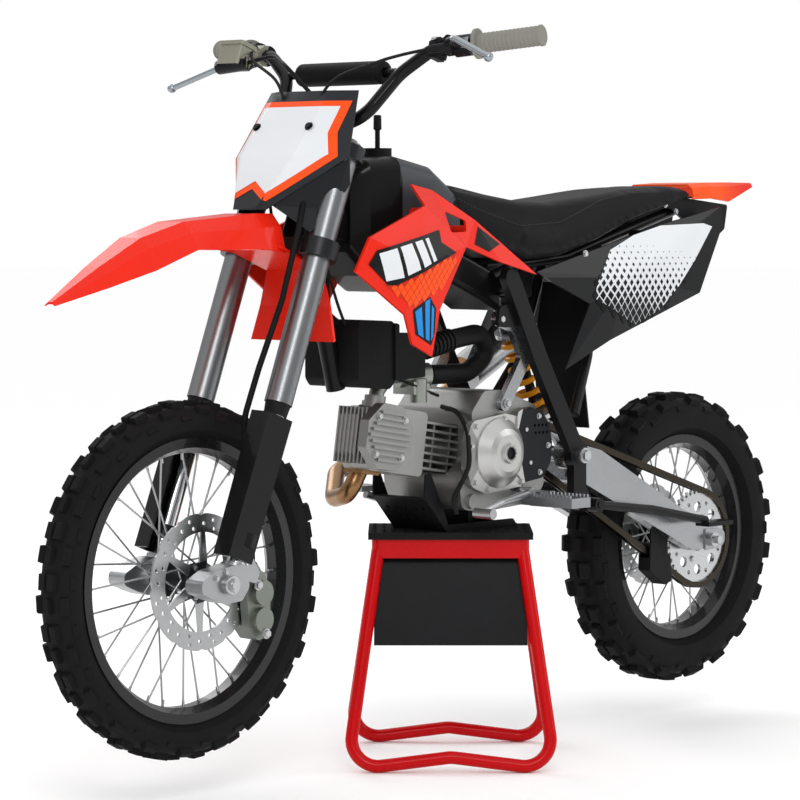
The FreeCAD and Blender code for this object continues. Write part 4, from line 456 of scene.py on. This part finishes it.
# Moulded polypropylene: black, with a soft gloss.
guard_plastic = material("guard_plastic", "#111112", "black_plastic", 0.42, coat=0.2)
wear("fork_guards", guard_plastic)
# Painted caliper casting: faintly green grey, satin.
caliper_alloy = material("caliper_alloy", "#7d837b", "engine_alloy", 0.42, 0.8)
wear("front_caliper rear_caliper", caliper_alloy)
# Enamel on the steel bar: black, with a sharper highlight than the frame.
bar_enamel = material("bar_enamel", "#121214", "black_steel", 0.3, 0.3, coat=0.15)
wear("handlebar", bar_enamel)
# Grey thermoplastic rubber: pale and dull, with a soft grain.
grip_rubber = material("grip_rubber", "#85847d", "grey_rubber", 0.7, grain=200, bump=0.3)
wear("hand_grips", grip_rubber)
# Polished lever blades: light, cool grey metal.
wear("clutch_lever brake_lever", material("lever_alloy", "#9aa0a4", "black_steel", 0.3, 0.9))
# Enamelled perches: black, satin.
perch_black = material("perch_black", "#1b1c1f", "black_steel", 0.4, 0.3)
part_wear("clutch_lever", perch_black, lambda p: p.y < 0.251)
part_wear("brake_lever", perch_black, lambda p: p.y > -0.232)
# Painted reservoir casting: dull, warm grey.
reservoir_alloy = material("reservoir_alloy", "#8b8b7d", "engine_alloy", 0.5, 0.4)
part_wear("brake_lever", reservoir_alloy,
          lambda p: p.y > -0.240 and steering_height(p) > 0.352 and p.x > 0.22)
# Glass-filled nylon of the throttle housing: black, satin.
wear("throttle", material("throttle_plastic", "#1c1c1d", "black_plastic", 0.45))


def tube(name, points, radius, made, body=None, sides=8):
    """A smooth round cable or hose through a few points; without a body it is attached to none."""
    runs = 8
    path = []
    ends = [points[0] * 2 - points[1]] + list(points) + [points[-1] * 2 - points[-2]]
    for a, b, c, d in zip(ends, ends[1:], ends[2:], ends[3:]):
        for k in range(runs):
            s = k / runs
            path.append(0.5 * (2 * b + (c - a) * s + (2 * a - 5 * b + 4 * c - d) * s * s
                               + (3 * b - a - 3 * c + d) * s ** 3))
    path.append(Vector(points[-1]))
    bm = bmesh.new()
    rows = []
    turns = [2 * math.pi * k / sides for k in range(sides)]
    side = Vector((0.3, 1.0, 0.2))
    for i, place in enumerate(path):
        way = (path[min(i + 1, len(path) - 1)] - path[max(i - 1, 0)]).normalized()
        side = (side - way * side.dot(way)).normalized()
        up = way.cross(side)
        rows.append([bm.verts.new(place + (side * math.cos(a) + up * math.sin(a)) * radius)
                     for a in turns])
    for low, high in zip(rows, rows[1:]):
        for k in range(sides):
            bm.faces.new([low[k], low[(k + 1) % sides], high[(k + 1) % sides], high[k]])
    bm.faces.new(rows[0])
    bm.faces.new(rows[-1])
    return show(name, bm, made, body, 60)


def collar(start, way, profile, sides=24):
    """A turned collar added to the open piece: a disc that is extruded along a way and resized,
    for each (distance, radius) of its profile."""
    way = Vector(way).normalized()
    quarter_turn = Quaternion((0, 0, 1), -math.pi / 2)
    facing = way.to_track_quat("Z", "Y") @ quarter_turn
    here, radius = profile[0]
    bpy.ops.mesh.primitive_circle_add(vertices=sides, radius=radius, fill_type="NGON",
                                      calc_uvs=False, location=Vector(start) + way * here,
                                      rotation=facing.to_euler())
    for there, wide in profile[1:]:
        bpy.ops.mesh.extrude_region_move(TRANSFORM_OT_translate={"value": way * (there - here)})
        bpy.ops.transform.resize(value=(wide / radius,) * 3,
                                 center_override=Vector(start) + way * there)
        here, radius = there, wide


def slab(bm, outline, depth, place, ease):
    """A flat piece from an outline, with its edges eased."""
    low = [bm.verts.new(place @ Vector((a, 0, b))) for a, b in outline]
    high = [bm.verts.new(place @ Vector((a, depth, b))) for a, b in outline]
    faces = [bm.faces.new(low), bm.faces.new(high)]
    for i in range(len(low)):
        j = (i + 1) % len(low)
        faces.append(bm.faces.new([low[i], low[j], high[j], high[i]]))
    bmesh.ops.recalc_face_normals(bm, faces=faces)
    edges = list({edge for face in faces for edge in face.edges})
    bmesh.ops.bevel(bm, geom=edges, offset=ease, segments=2, affect="EDGES", clamp_overlap=True)


def grip_line(side):
    """The bar's tip and its way inwards through the grip."""
    tip = steer(-0.062, side * 0.372, 0.428)
    bend = steer(-0.012, side * 0.185, 0.388)
    return tip, (bend - tip).normalized()


# Each grip has thirteen raised ribs and a round end bead.
rib_pitch = 0.0075
for side, name in ((1, "left"), (-1, "right")):
    tip, way = grip_line(side)
    piece = open_piece("grip_ribs_" + name)
    for i in range(13):
        collar(tip + way * (0.010 + rib_pitch * i), way,
               [(0.0, 0.0158), (0.0012, 0.0167), (0.0036, 0.0167), (0.0048, 0.0158)])
    collar(tip + way * -0.0005, way,
           [(0.0, 0.0150), (0.002, 0.0176), (0.006, 0.0176), (0.007, 0.0158)])
    close_piece(piece, grip_rubber, "steering", 30)
# The clutch perch's clamping band and the cable's rubber boot.
tip, way = grip_line(1)
piece = open_piece("clutch_boot")
collar(tip + way * 0.158, way, [(0, 0.0125), (0.001, 0.0145), (0.011, 0.0145), (0.012, 0.0125)])
perch = tip + way * 0.140 + Vector((0.030, 0, -0.004))
collar(perch, (0.45, -0.85, -0.05),
       [(0, 0.009), (0.004, 0.011), (0.016, 0.0085), (0.030, 0.0070), (0.044, 0.0040)])
close_piece(piece, seal_black, "steering")
# The engine switch's pod beside the perch.
bm = bmesh.new()
pod = tip + way * 0.186
pod_width = 0.022
slab(bm, [(-0.017, -0.018), (0.015, -0.020), (0.019, 0.010), (0.006, 0.020), (-0.016, 0.016)],
     pod_width, Matrix.Translation(pod) @ Matrix.Rotation(-rake, 4, "Y")
     @ Matrix.Translation((0, -pod_width / 2, 0)), 0.004)
show("switch_pod", bm, cover_black, "steering")
bolts("control_bolts", [(perch + Vector((0.004, 0.018, 0.010)), (0, 0, 1), 0.0042, 0.004),
                        (pod + Vector((0.012, 0.0, 0.016)), (0.4, 0, 0.9), 0.0035, 0.003)],
      zinc_steel, "steering")
# Four bolts on each bar clamp, and the pinch bolts of the lower and upper fork clamps.
tilt = STEER.to_3x3()
clamp_spots = []
for side in (1, -1):
    for dx in (-0.014, 0.014):
        for dy in (-0.008, 0.008):
            clamp_spots.append((steer(0.014 + dx, side * 0.040 + dy, 0.269),
                                tilt @ Vector((0, 0, 1)), 0.0038, 0.005))
    for x, z in ((0.062, 0.016), (0.062, 0.030), (0.060, 0.192)):
        clamp_spots.append((steer(x, side * 0.072, z), tilt @ Vector((0.6, side * -0.8, 0)),
                            0.004, 0.005))
bolts("clamp_bolts", clamp_spots, zinc_steel, "steering")
# Two pinch bolts on the left shoe, two caliper bolts and the axle's end caps.
shoe_spots = [(steer(x, 0.1092, z), (0, 1, 0), 0.0042, 0.004)
              for x, z in ((0.0785, -0.546), (0.0625, -0.531))]
shoe_spots += [(FRONT + Vector((x, 0.0790, z)), (0, 1, 0), 0.0065, 0.006)
               for x, z in ((-0.094, -0.010), (-0.112, -0.090))]
shoe_spots += [(FRONT + Vector((0, side * 0.118, 0)), (0, side, 0), 0.0115, 0.005)
               for side in (1, -1)]
bolts("fork_bolts", shoe_spots, zinc_steel, "steering")
# The clutch cable from its boot, round the head tube and under the tank to the engine.
cable_radius = 0.0027
clutch_run = [perch + Vector((0.018, -0.034, -0.002)), perch + Vector((0.040, -0.080, -0.012)),
              steer(0.060, 0.135, 0.335), steer(0.070, 0.060, 0.300), steer(0.062, 0.036, 0.230),
              Vector((0.372, 0.046, 0.960)), Vector((0.330, 0.040, 0.870)),
              Vector((0.270, 0.030, 0.760)), Vector((0.200, 0.030, 0.690)),
              Vector((0.090, 0.030, 0.648)), Vector((0.040, 0.030, 0.632))]
clutch_cable = tube("clutch_cable", clutch_run, cable_radius, seal_black)
# The throttle cable from the right grip, round the other side and down to the carburettor.
throttle_run = [steer(-0.030, -0.238, 0.400), steer(0.014, -0.205, 0.398),
                steer(0.060, -0.150, 0.350), steer(0.074, -0.060, 0.300),
                steer(0.066, -0.030, 0.235), Vector((0.376, -0.040, 0.960)),
                Vector((0.330, -0.036, 0.870)), Vector((0.240, -0.026, 0.770)),
                Vector((0.150, -0.010, 0.735)), Vector((0.088, 0.006, 0.716))]
throttle_cable = tube("throttle_cable", throttle_run, cable_radius, seal_black)
for cable in (clutch_cable, throttle_cable):
    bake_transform(cable)
# The crankcase's breather hose hangs beside the stator cover.
breather_run = [(0.020, 0.020, 0.612), (0.026, 0.060, 0.604), (0.034, 0.090, 0.576),
                (0.043, 0.103, 0.548), (0.043, 0.103, 0.515), (0.052, 0.092, 0.482),
                (0.056, 0.080, 0.456), (0.052, 0.084, 0.432)]
tube("breather_hose", [Vector(p) for p in breather_run], 0.0042, seal_black, "root")
# Folded wings of the cowl behind the number plate, one on each side.
bm = bmesh.new()
for side in (1, -1):
    corners = [Vector((x, side * y, z)) for x, y, z in
               ((0.358, 0.124, 1.034), (0.449, 0.036, 0.958), (0.412, 0.088, 0.914),
                (0.352, 0.118, 0.992), (0.372, 0.104, 0.950))]
    outer = [bm.verts.new(p) for p in corners]
    inner = [bm.verts.new(p - Vector((0.0035, side * 0.0015, 0))) for p in corners]
    for a, b, c in ((0, 1, 4), (1, 2, 4), (0, 4, 3)):
        bm.faces.new([outer[a], outer[b], outer[c]])
        bm.faces.new([inner[a], inner[b], inner[c]])
    for a, b in ((0, 1), (1, 2), (2, 4), (4, 3), (3, 0)):
        bm.faces.new([outer[a], outer[b], inner[b], inner[a]])
# Moulded polypropylene: black, with a clean soft gloss.
cowl_plastic = material("cowl_plastic", "#141518", "black_plastic", 0.34, coat=0.2, bump=0.02)
show("plate_cowl", bm, cowl_plastic, "steering", 12)

# Bodywork
# Injection-moulded red panels with printed film, a blow-moulded tank, a black tail tray and a
# sewn seat cover over foam.

# Gloss polypropylene dyed through: even orange-red with a soft highlight.
red_plastic = material("red_plastic", "#e02410", "red_plastic", 0.3, coat=0.12, shade=0.03,
                       bump=0.0)
wear("front_fender shrouds", red_plastic)
# The same plastic, whose red goes over into orange towards the tip.
tail_plastic = material("tail_plastic", "#e32a12", "red_plastic", 0.3, coat=0.12, bump=0.0)
fade_rear, fade_front = -0.80, -0.70
tail_tree = tail_plastic.node_tree
tail_where = next(n for n in tail_tree.nodes if n.bl_idname == "ShaderNodeTexCoord")
tail_tint = next(n for n in tail_tree.nodes if n.bl_idname == "ShaderNodeMixRGB")
tail_place = add(tail_tree, "SeparateXYZ", Vector=tail_where.outputs["Object"])
tail_share = add(tail_tree, "MapRange", Value=tail_place.outputs["X"], i1=fade_rear,
                 i2=fade_front, i3=0.0, i4=1.0)
tail_fade = add(tail_tree, "MixRGB", Fac=tail_share.outputs["Result"],
                Color1=colour("#e32410"), Color2=colour("#f4510e"))
tail_tree.links.new(tail_fade.outputs["Color"], tail_tint.inputs["Color1"])
wear("rear_fender", tail_plastic)
# Gloss polypropylene: black with a clean highlight.
black_gloss = material("black_gloss", "#101113", "black_plastic", 0.36, coat=0.2, bump=0.02)
wear("side_panels", black_gloss)
# Textured polypropylene: black and dull.
wear("tail_tray", material("tray_plastic", "#141517", "black_plastic", 0.46, grain=250, bump=0.12))
# Blow-moulded polyethylene: slate grey and waxy. Its front cover is black and glossier.
wear("tank", material("tank_plastic", "#43464a", "black_plastic", 0.42, coat=0.1))
part_wear("tank", material("tank_front", "#0e0e0f", "black_plastic", 0.42, coat=0.2),
          lambda p: p.x > 0.176)
part_wear("tank", slider_nylon, lambda p: p.z > 1.03 and 0.13 < p.x < 0.19)
# The breather stands on the tank's cap: a foot, a thin stem and a thicker valve.
piece = open_piece("tank_breather")
collar((0.160, 0, 1.034), (0, 0, 1),
       [(0, 0.0085), (0.006, 0.0085), (0.010, 0.0042), (0.050, 0.0042), (0.052, 0.0070),
        (0.074, 0.0066), (0.076, 0.0050)], 16)
close_piece(piece, slider_nylon, "root")
# Coarsely textured polyethylene of the airbox: black, with no glint.
rough_plastic = material("rough_plastic", "#121314", "black_plastic", 0.6, grain=220, bump=0.25)
wear("airbox inner_mudguard", rough_plastic)


def surface(piece):
    """A search tree of a piece's faces."""
    return BVHTree.FromPolygons([v.co for v in piece.data.vertices],
                                [tuple(f.vertices) for f in piece.data.polygons])


def film(name, panel, outlines, start, way, made, body, lift=0.0006, step=0.008):
    """A printed film laid on a panel's search tree: outlines are cut into squares of a step's
    size and projected along a way onto its faces, at a small lift over them."""
    bm = bmesh.new()
    for outline in outlines:
        bm.faces.new([bm.verts.new(start(*point)) for point in outline])
    if step:
        across = [axis for axis in range(3) if abs(Vector(way)[axis]) < 0.9]
        for axis in across:
            values = [v.co[axis] for v in bm.verts]
            cut = math.floor(min(values) / step) * step + step
            while cut < max(values):
                place, normal = Vector((0, 0, 0)), Vector((0, 0, 0))
                place[axis], normal[axis] = cut, 1.0
                bmesh.ops.bisect_plane(bm, geom=bm.verts[:] + bm.edges[:] + bm.faces[:],
                                       plane_co=place, plane_no=normal)
                cut += step
    behind = 0.2
    way = Vector(way).normalized()
    for vert in bm.verts:
        hit, normal, _, _ = panel.ray_cast(vert.co, way)
        if hit is None:
            hit, normal, _, _ = panel.find_nearest(vert.co + way * behind)
        if normal.dot(way) > 0:
            normal = -normal
        vert.co = hit - way * lift
    show(name, bm, made, body, 20)


# Printed vinyl film under clear laminate: flat, even colours with a soft gloss.
orange_film = material("orange_film", "#f64e12", "red_plastic", 0.3, coat=0.1, bump=0.0)
mesh_film = material("mesh_film", "#c22c0c", "red_plastic", 0.32, coat=0.1, bump=0.0)
white_film = material("white_film", "#dadde0", "black_plastic", 0.32, coat=0.1, shade=0.02,
                      bump=0.02)
black_film = material("black_film", "#0c0d0e", "black_plastic", 0.3, coat=0.1, bump=0.02)
blue_film = material("blue_film", "#1784cf", "black_plastic", 0.3, coat=0.1, bump=0.02)

# The moulded plate in one skin: its stays end flush behind the two bolts.
fold_height, stay_side = 1.035, 0.060
bm = bmesh.new()
bm.from_mesh(nodes["number_plate"].data)
bmesh.ops.remove_doubles(bm, verts=bm.verts, dist=0.00005)


def plate_front(z):
    """The front skin's place along X at a height: two straight runs that meet at the fold."""
    if z > fold_height:
        return 0.423 - (z - fold_height) / 0.110 * 0.086
    return 0.477 - (z - 0.950) / 0.085 * 0.054


past = [v for v in bm.verts if abs(abs(v.co.y) - stay_side) < 0.0066 and v.co.z > 1.06
        and v.co.x > plate_front(v.co.z) + 0.0012]
bmesh.ops.delete(bm, geom=past, context="VERTS")
rims = [e for e in bm.edges if e.is_boundary]
plate_holes = []
for side in (1, -1):
    spots = [v.co.copy() for e in rims for v in e.verts if v.co.y * side > 0]
    plate_holes.append(sum(spots, Vector()) / len(spots))
bmesh.ops.holes_fill(bm, edges=rims)
# Moulded polypropylene: charcoal, satin.
plate_plastic = material("plate_plastic", "#25272b", "black_plastic", 0.38, coat=0.1)
plate_shell = show("plate_shell", bm, plate_plastic, "steering", 20)
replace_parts(plate_shell, "number_plate")


def from_front(y, z):
    """A place well in front of the plate, from which its film is projected."""
    return Vector((0.7, y, z))


def mirrored(half):
    """A closed outline from the points of its left half, first at the top."""
    return half + [(-y, z) for y, z in reversed(half) if y > 0.0]


plate_skin = surface(plate_shell)
film("plate_border", plate_skin,
     [mirrored([(0.100, 1.128), (0.101, 1.076), (0.117, 1.036), (0.036, 0.964), (0.0, 0.984)])],
     from_front, (-1, 0, 0), orange_film, "steering", 0.0010, 0.005)
film("plate_field", plate_skin,
     [mirrored([(0.088, 1.119), (0.089, 1.075), (0.104, 1.040), (0.035, 0.977), (0.0, 0.997)])],
     from_front, (-1, 0, 0), white_film, "steering", 0.0020, 0.005)
bolts("plate_bolts", [(spot + Vector((0.0022, 0, 0.0018)), (0.78, 0, 0.62), 0.0058, 0.004)
                      for spot in plate_holes], black_film, "steering")


def lattice(low, high, pitch, size, inside):
    """Small diamonds on a slanting lattice; inside gives each its share of the full size."""
    least_share = 0.08
    found = []
    rows = int((high[1] - low[1]) / (pitch[1] / 2)) + 1
    for r in range(rows):
        z = low[1] + r * pitch[1] / 2
        x = low[0] + (pitch[0] / 2 if r % 2 else 0.0)
        while x < high[0]:
            share = inside(x, z)
            if share > least_share:
                w, h = size[0] * share / 2, size[1] * share / 2
                found.append([(x - w, z), (x, z - h), (x + w, z), (x, z + h)])
            x += pitch[0]
    return found


def within(x, z, outline):
    """Whether a point of the side view is inside an outline."""
    odd = False
    for (x0, z0), (x1, z1) in zip(outline, outline[1:] + outline[:1]):
        if (z0 > z) != (z1 > z) and x < (x1 - x0) * (z - z0) / (z1 - z0) + x0:
            odd = not odd
    return odd


# Outlines in the side view, in metres: the shroud's mesh with its dark block and pale bars, the
# stripes under it, and the side panel's pale field.
shroud_mesh = [(0.290, 0.828), (0.223, 0.790), (0.182, 0.807), (0.144, 0.825), (0.108, 0.857),
               (0.113, 0.876), (0.150, 0.864), (0.262, 0.824)]
shroud_block = [(0.325, 0.861), (0.306, 0.884), (0.152, 0.917), (0.150, 0.896), (0.112, 0.879),
                (0.150, 0.866), (0.262, 0.826), (0.282, 0.827)]


def block_top(x):
    """The height of the bars' upper ends, a little under the block's edge."""
    return 0.878 + (0.306 - x) * 0.214


def block_low(x):
    """The height of the bars' lower ends, a little over the block's edge."""
    return 0.833 + max(0.262 - x, 0.0) * 0.357


bar_slant = 0.016
shroud_bars = [[(a, block_top(a)), (b, block_top(b)), (b - bar_slant, block_low(b - bar_slant)),
                (a - bar_slant, block_low(a - bar_slant))]
               for a, b in ((0.302, 0.262), (0.254, 0.226), (0.218, 0.200), (0.193, 0.184))]
stripes = [(0.222, 0.785), (0.180, 0.806), (0.161, 0.786), (0.161, 0.745), (0.168, 0.724),
           (0.211, 0.744)]
white_field = [(-0.322, 0.879), (-0.392, 0.905), (-0.470, 0.922), (-0.600, 0.926),
               (-0.628, 0.920), (-0.567, 0.857), (-0.517, 0.814), (-0.458, 0.770),
               (-0.400, 0.750), (-0.383, 0.745), (-0.275, 0.794), (-0.277, 0.822)]


def dot_share(x, z):
    """How large a dot of the faded field is: large low and forward, gone at the top."""
    near = any(within(x + dx, z + dz, white_field)
               for dx, dz in ((0, 0), (0.007, 0), (-0.007, 0), (0, 0.009), (0, -0.009)))
    deep = (0.882 - z) + (x + 0.45) * 0.12
    if not near or deep <= -0.006:
        return 0.0
    return min(0.90, 0.10 + deep / 0.120 * 0.80)


shroud_skin = surface(nodes["shrouds"])
panel_skin = surface(nodes["side_panels"])
for side, word in ((1, "left"), (-1, "right")):
    def from_side(x, z, s=side):
        """A place well outside the panels, from which their films are projected."""
        return Vector((x, s * 0.4, z))

    way = (0, -side, 0)
    film("shroud_film_" + word, shroud_skin, [shroud_mesh], from_side, way, mesh_film, "root")
    film("shroud_diamonds_" + word, shroud_skin,
         lattice((0.10, 0.78), (0.30, 0.89), (0.0145, 0.0170), (0.0132, 0.0156),
                 lambda x, z: 1.0 if within(x, z, shroud_mesh) else 0.0),
         from_side, way, orange_film, "root", lift=0.0010, step=0)
    film("shroud_block_" + word, shroud_skin, [shroud_block], from_side, way, black_film, "root",
         lift=0.0014)
    film("shroud_bright_" + word, shroud_skin, shroud_bars, from_side, way, white_film, "root",
         lift=0.0018)
    film("shroud_lower_" + word, shroud_skin, [stripes], from_side, way, black_film, "root",
         lift=0.0006)
    film("shroud_stripes_" + word, shroud_skin,
         [[(0.216, 0.782), (0.200, 0.790), (0.190, 0.738), (0.204, 0.744)],
          [(0.192, 0.798), (0.180, 0.803), (0.174, 0.732), (0.184, 0.736)],
          [(0.174, 0.792), (0.167, 0.786), (0.165, 0.740), (0.170, 0.732)]],
         from_side, way, blue_film, "root", lift=0.0012)
    film("shroud_rear_" + word, shroud_skin,
         [[(0.040, 0.922), (-0.014, 0.892), (0.020, 0.879), (0.058, 0.892)]],
         from_side, way, black_film, "root")
    film("panel_field_" + word, panel_skin, [white_field], from_side, way, white_film, "root")
    film("panel_dots_" + word, panel_skin,
         lattice((-0.645, 0.735), (-0.262, 0.90), (0.0185, 0.0215), (0.0185, 0.0215),
                 dot_share),
         from_side, way, black_film, "root", lift=0.0012, step=0)
    bolts("panel_bolts_" + word,
          [(Vector((-0.256, side * 0.111, 0.873)), (0, side, 0), 0.005, 0.003),
           (Vector((-0.538, side * 0.066, 0.960)), (0, side, 0), 0.0045, 0.003),
           (Vector((-0.569, side * 0.066, 0.947)), (0, side, 0), 0.0045, 0.003)],
          zinc_steel, "root")


def cushion(name, node, shrink, cap, voxel, made, body, keep, seams=()):
    """A sewn cover over foam: the panel's form made smaller, filled out by cloth pressure with
    its travel capped, and pulled in along its seams. keep gives a place its share of travel."""
    least_share = 0.25
    air_pressure = 4.0
    cloth_frames = 20
    bm = bmesh.new()
    bm.from_mesh(nodes[node].data)
    bmesh.ops.remove_doubles(bm, verts=bm.verts, dist=0.0001)
    bmesh.ops.recalc_face_normals(bm, faces=bm.faces)
    bm.normal_update()
    piece = new_piece(name)
    bm.to_mesh(piece.data)
    bm.free()
    grid = piece.modifiers.new("grid", "REMESH")
    grid.mode = "VOXEL"
    grid.voxel_size = voxel
    bpy.ops.object.modifier_apply(modifier="grid")
    rest = [v.co - v.normal * shrink * max(keep(v.co, v.normal), least_share)
            for v in piece.data.vertices]
    shares = [keep(v.co, v.normal) for v in piece.data.vertices]
    for vert, place in zip(piece.data.vertices, rest):
        vert.co = place
    cloth = piece.modifiers.new("cover", "CLOTH")
    cloth.settings.use_pressure = True
    cloth.settings.uniform_pressure_force = air_pressure
    cloth.settings.effector_weights.gravity = 0.0
    for step in range(1, cloth_frames + 1):
        bpy.context.scene.frame_set(step)
    filled = piece.evaluated_get(bpy.context.evaluated_depsgraph_get())
    moved = [v.co.copy() for v in filled.data.vertices]
    piece.modifiers.remove(cloth)
    bpy.context.scene.frame_set(1)
    for vert, place, start, share in zip(piece.data.vertices, moved, rest, shares):
        travel = place - start
        if travel.length > cap:
            travel = travel.normalized() * cap
        vert.co = start + travel * share
    for line, wide, deep in seams:
        for vert in piece.data.vertices:
            near = min((vert.co - closest(vert.co, a, b)).length for a, b in zip(line, line[1:]))
            if near < wide:
                vert.co -= vert.normal * deep * (1 - near / wide) ** 2
    finer = piece.modifiers.new("finer", "SUBSURF")
    finer.levels = finer.render_levels = 1
    bpy.ops.object.modifier_apply(modifier="finer")
    for face in piece.data.polygons:
        face.use_smooth = True
    piece.data.materials.clear()
    piece.data.materials.append(made)
    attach(piece, body)
    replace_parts(piece, node)


def closest(point, a, b):
    """The nearest point to a point on a straight run."""
    along = b - a
    return a + along * max(0.0, min(1.0, (point - a).dot(along) / along.length_squared))


def thread(name, line, pitch, made, body):
    """A row of stitches: short rounded runs of thread set along a line."""
    piece = open_piece(name)
    for a, b in zip(line, line[1:]):
        way = (b - a).normalized()
        for k in range(int((b - a).length / pitch)):
            collar(a + way * pitch * (k + 0.15), way,
                   [(0.0, 0.0003), (pitch * 0.12, 0.0007), (pitch * 0.58, 0.0007),
                    (pitch * 0.70, 0.0003)], 5)
    close_piece(piece, made, body)


# Embossed vinyl: black, with a leather grain drawn coarse enough to show.
seat_vinyl = material("seat_vinyl", "#141416", "seat_cover", 0.52, grain=420, bump=0.35)
seat_line = [(0.060, 0.066, 0.979), (0.030, 0.071, 0.967), (-0.014, 0.078, 0.950),
             (-0.105, 0.090, 0.923), (-0.207, 0.094, 0.929), (-0.324, 0.089, 0.968),
             (-0.400, 0.084, 0.979), (-0.449, 0.079, 0.986), (-0.493, 0.077, 0.988),
             (-0.560, 0.070, 0.990)]
# The seams follow the seat's upper edges, six short runs to each long one.
seat_skin = surface(nodes["seat"])
runs = 6
seat_seams = []
for side in (1, -1):
    fine_line = []
    for (x0, y0, z0), (x1, y1, z1) in zip(seat_line, seat_line[1:]):
        for k in range(runs):
            guess = Vector((x0 + (x1 - x0) * k / runs, side * (y0 + (y1 - y0) * k / runs),
                            z0 + (z1 - z0) * k / runs))
            fine_line.append(seat_skin.find_nearest(guess)[0])
    seat_seams.append(fine_line)
cushion("seat_cushion", "seat", 0.0030, 0.0055, 0.006, seat_vinyl, "root",
        lambda p, n: 0.0 if n.z < -0.35 else 1.0,
        [(line, 0.007, 0.0022) for line in seat_seams])
# Twisted polyester thread: dark grey on the black vinyl.
seat_thread = material("seat_thread", "#3a3a3d", "seat_cover", 0.6)
for line, word in zip(seat_seams, ("left", "right")):
    thread("seat_stitches_" + word, line, 0.005, seat_thread, "root")
# Woven nylon cover over foam: black and dull, with a coarse cloth grain.
pad_cover = material("pad_cover", "#131315", "black_rubber", 0.6, grain=300, bump=0.4)
# A round seam near each end of the pad.
pad_radius, seam_side = 0.0222, 0.082
pad_seams = []
for side in (1, -1):
    pad_seams.append([steer(-0.008 + pad_radius * math.cos(a), side * seam_side,
                            0.349 + pad_radius * math.sin(a))
                      for a in [2 * math.pi * k / 24 for k in range(25)]])
cushion("brace_pad", "bar_pad", 0.0022, 0.0045, 0.004, pad_cover, "steering",
        lambda p, n: 1.0, [(line, 0.005, 0.0018) for line in pad_seams])

# Paddock stand
# Bent steel tube in gloss red, with a ribbed rubber mat on its deck and a black glossy board
# hung between its near legs.

# Powder coat on steel: deep red under a smooth gloss.
wear("paddock_stand", material("stand_enamel", "#c0060c", "red_steel", 0.26, coat=0.08,
                               shade=0.04))
# Moulded mat rubber: black, dull and a little dusty.
mat_rubber = material("mat_rubber", "#19191a", "black_rubber", 0.75, grain=220, bump=0.3)
wear("stand_mat", mat_rubber)
# Raised diamonds on the mat, long one way and the other in turn, on the turned deck.
deck = Matrix.Translation((-0.008, 0.014, 0.3994)) @ Matrix.Rotation(math.radians(42.9), 4, "Z")
diamond = ((-1, 0), (0, -1), (1, 0), (0, 1))
long_half, short_half = 0.0055, 0.0025
pitch_x, pitch_y = 0.016, 0.0163
raised, top_share = 0.0012, 0.7
bm = bmesh.new()
for i in range(11):
    for j in range(17):
        x, y = -0.080 + pitch_x * i, -0.1305 + pitch_y * j
        half_x, half_y = (long_half, short_half) if (i + j) % 2 else (short_half, long_half)
        low = [bm.verts.new(deck @ Vector((x + a * half_x, y + b * half_y, 0.0)))
               for a, b in diamond]
        top = [bm.verts.new(deck @ Vector((x + a * half_x * top_share,
                                           y + b * half_y * top_share, raised)))
               for a, b in diamond]
        bm.faces.new(top)
        for k in range(4):
            bm.faces.new([low[k], low[(k + 1) % 4], top[(k + 1) % 4], top[k]])
show("mat_tread", bm, mat_rubber, "root", 20)
# Printed board under gloss film: black, with drifting darker and lighter patches that are painted
# reflections of its gloss.
wear("stand_board", material("board_gloss", "#0b0c0f", "black_plastic", 0.34,
                               mottle=14.0, shade=0.3))

# Studio
# A pale sheet of paper on the floor, three soft lamps and a bright ceiling, as for a picture in
# a catalogue, with the photograph's viewpoint.
bpy.ops.mesh.primitive_plane_add(size=80, location=(0, 0, 0))
floor = bpy.context.object
floor.name = "floor"
# Backdrop paper: white and matt, without a pattern.
floor.data.materials.append(material("floor_paper", "#ffffff", "black_plastic", 0.9, shade=0.004,
                                     bump=0.0))
floor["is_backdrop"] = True
# Three square lamps, all turned to the bike's lower middle, half a metre over the floor.
lit = Vector((0, 0, 0.5))
for name, place, size, power in (("key", (3.6, 3.6, 3.4), 1.8, 75),
                                 ("fill", (-3.4, 3.2, 2.0), 2.0, 30),
                                 ("rim", (-1.0, -3.6, 3.0), 2.0, 35)):
    lamp = bpy.data.lights.new(name, "AREA")
    lamp.energy = power
    lamp.size = size
    holder = bpy.data.objects.new(name, lamp)
    bpy.context.scene.collection.objects.link(holder)
    holder.location = place
    holder.rotation_euler = (lit - Vector(place)).to_track_quat("-Z", "Y").to_euler()
# The room is dim low down and bright at its ceiling; the camera sees plain white paper.
floor_light, ceiling_light = 0.36, 1.32
world = bpy.data.worlds.new("studio")
bpy.context.scene.world = world
world.use_nodes = True
tree = world.node_tree
tree.nodes.clear()
seen = add(tree, "LightPath")
heading = add(tree, "TexCoord")
height = add(tree, "SeparateXYZ", Vector=heading.outputs["Generated"])
level = add(tree, "MapRange", Value=height.outputs["Z"], i1=0.0, i2=1.0, i3=floor_light,
            i4=ceiling_light)
soft = add(tree, "Background", Color=colour("#ffffff"), Strength=level.outputs["Result"])
paper = add(tree, "Background", Color=colour("#ffffff"), Strength=1.0)
mixed = add(tree, "MixShader", i0=seen.outputs["Is Camera Ray"],
            i1=soft.outputs["Background"], i2=paper.outputs["Background"])
add(tree, "OutputWorld", Surface=mixed.outputs["Shader"])
bpy.context.scene.view_settings.view_transform = "Standard"
# The viewpoint was fitted to the wheels and the frame's lines in the photograph.
lens = bpy.data.cameras.new("camera")
lens.lens = 150.0
lens.sensor_width = 36.0
camera = bpy.data.objects.new("camera", lens)
bpy.context.scene.collection.objects.link(camera)
camera.location = (4.26846, 3.86845, 0.94671)
camera.rotation_euler = (math.radians(90 - 3.23), 0, math.radians(132.89))
bpy.context.scene.camera = camera

low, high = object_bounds()
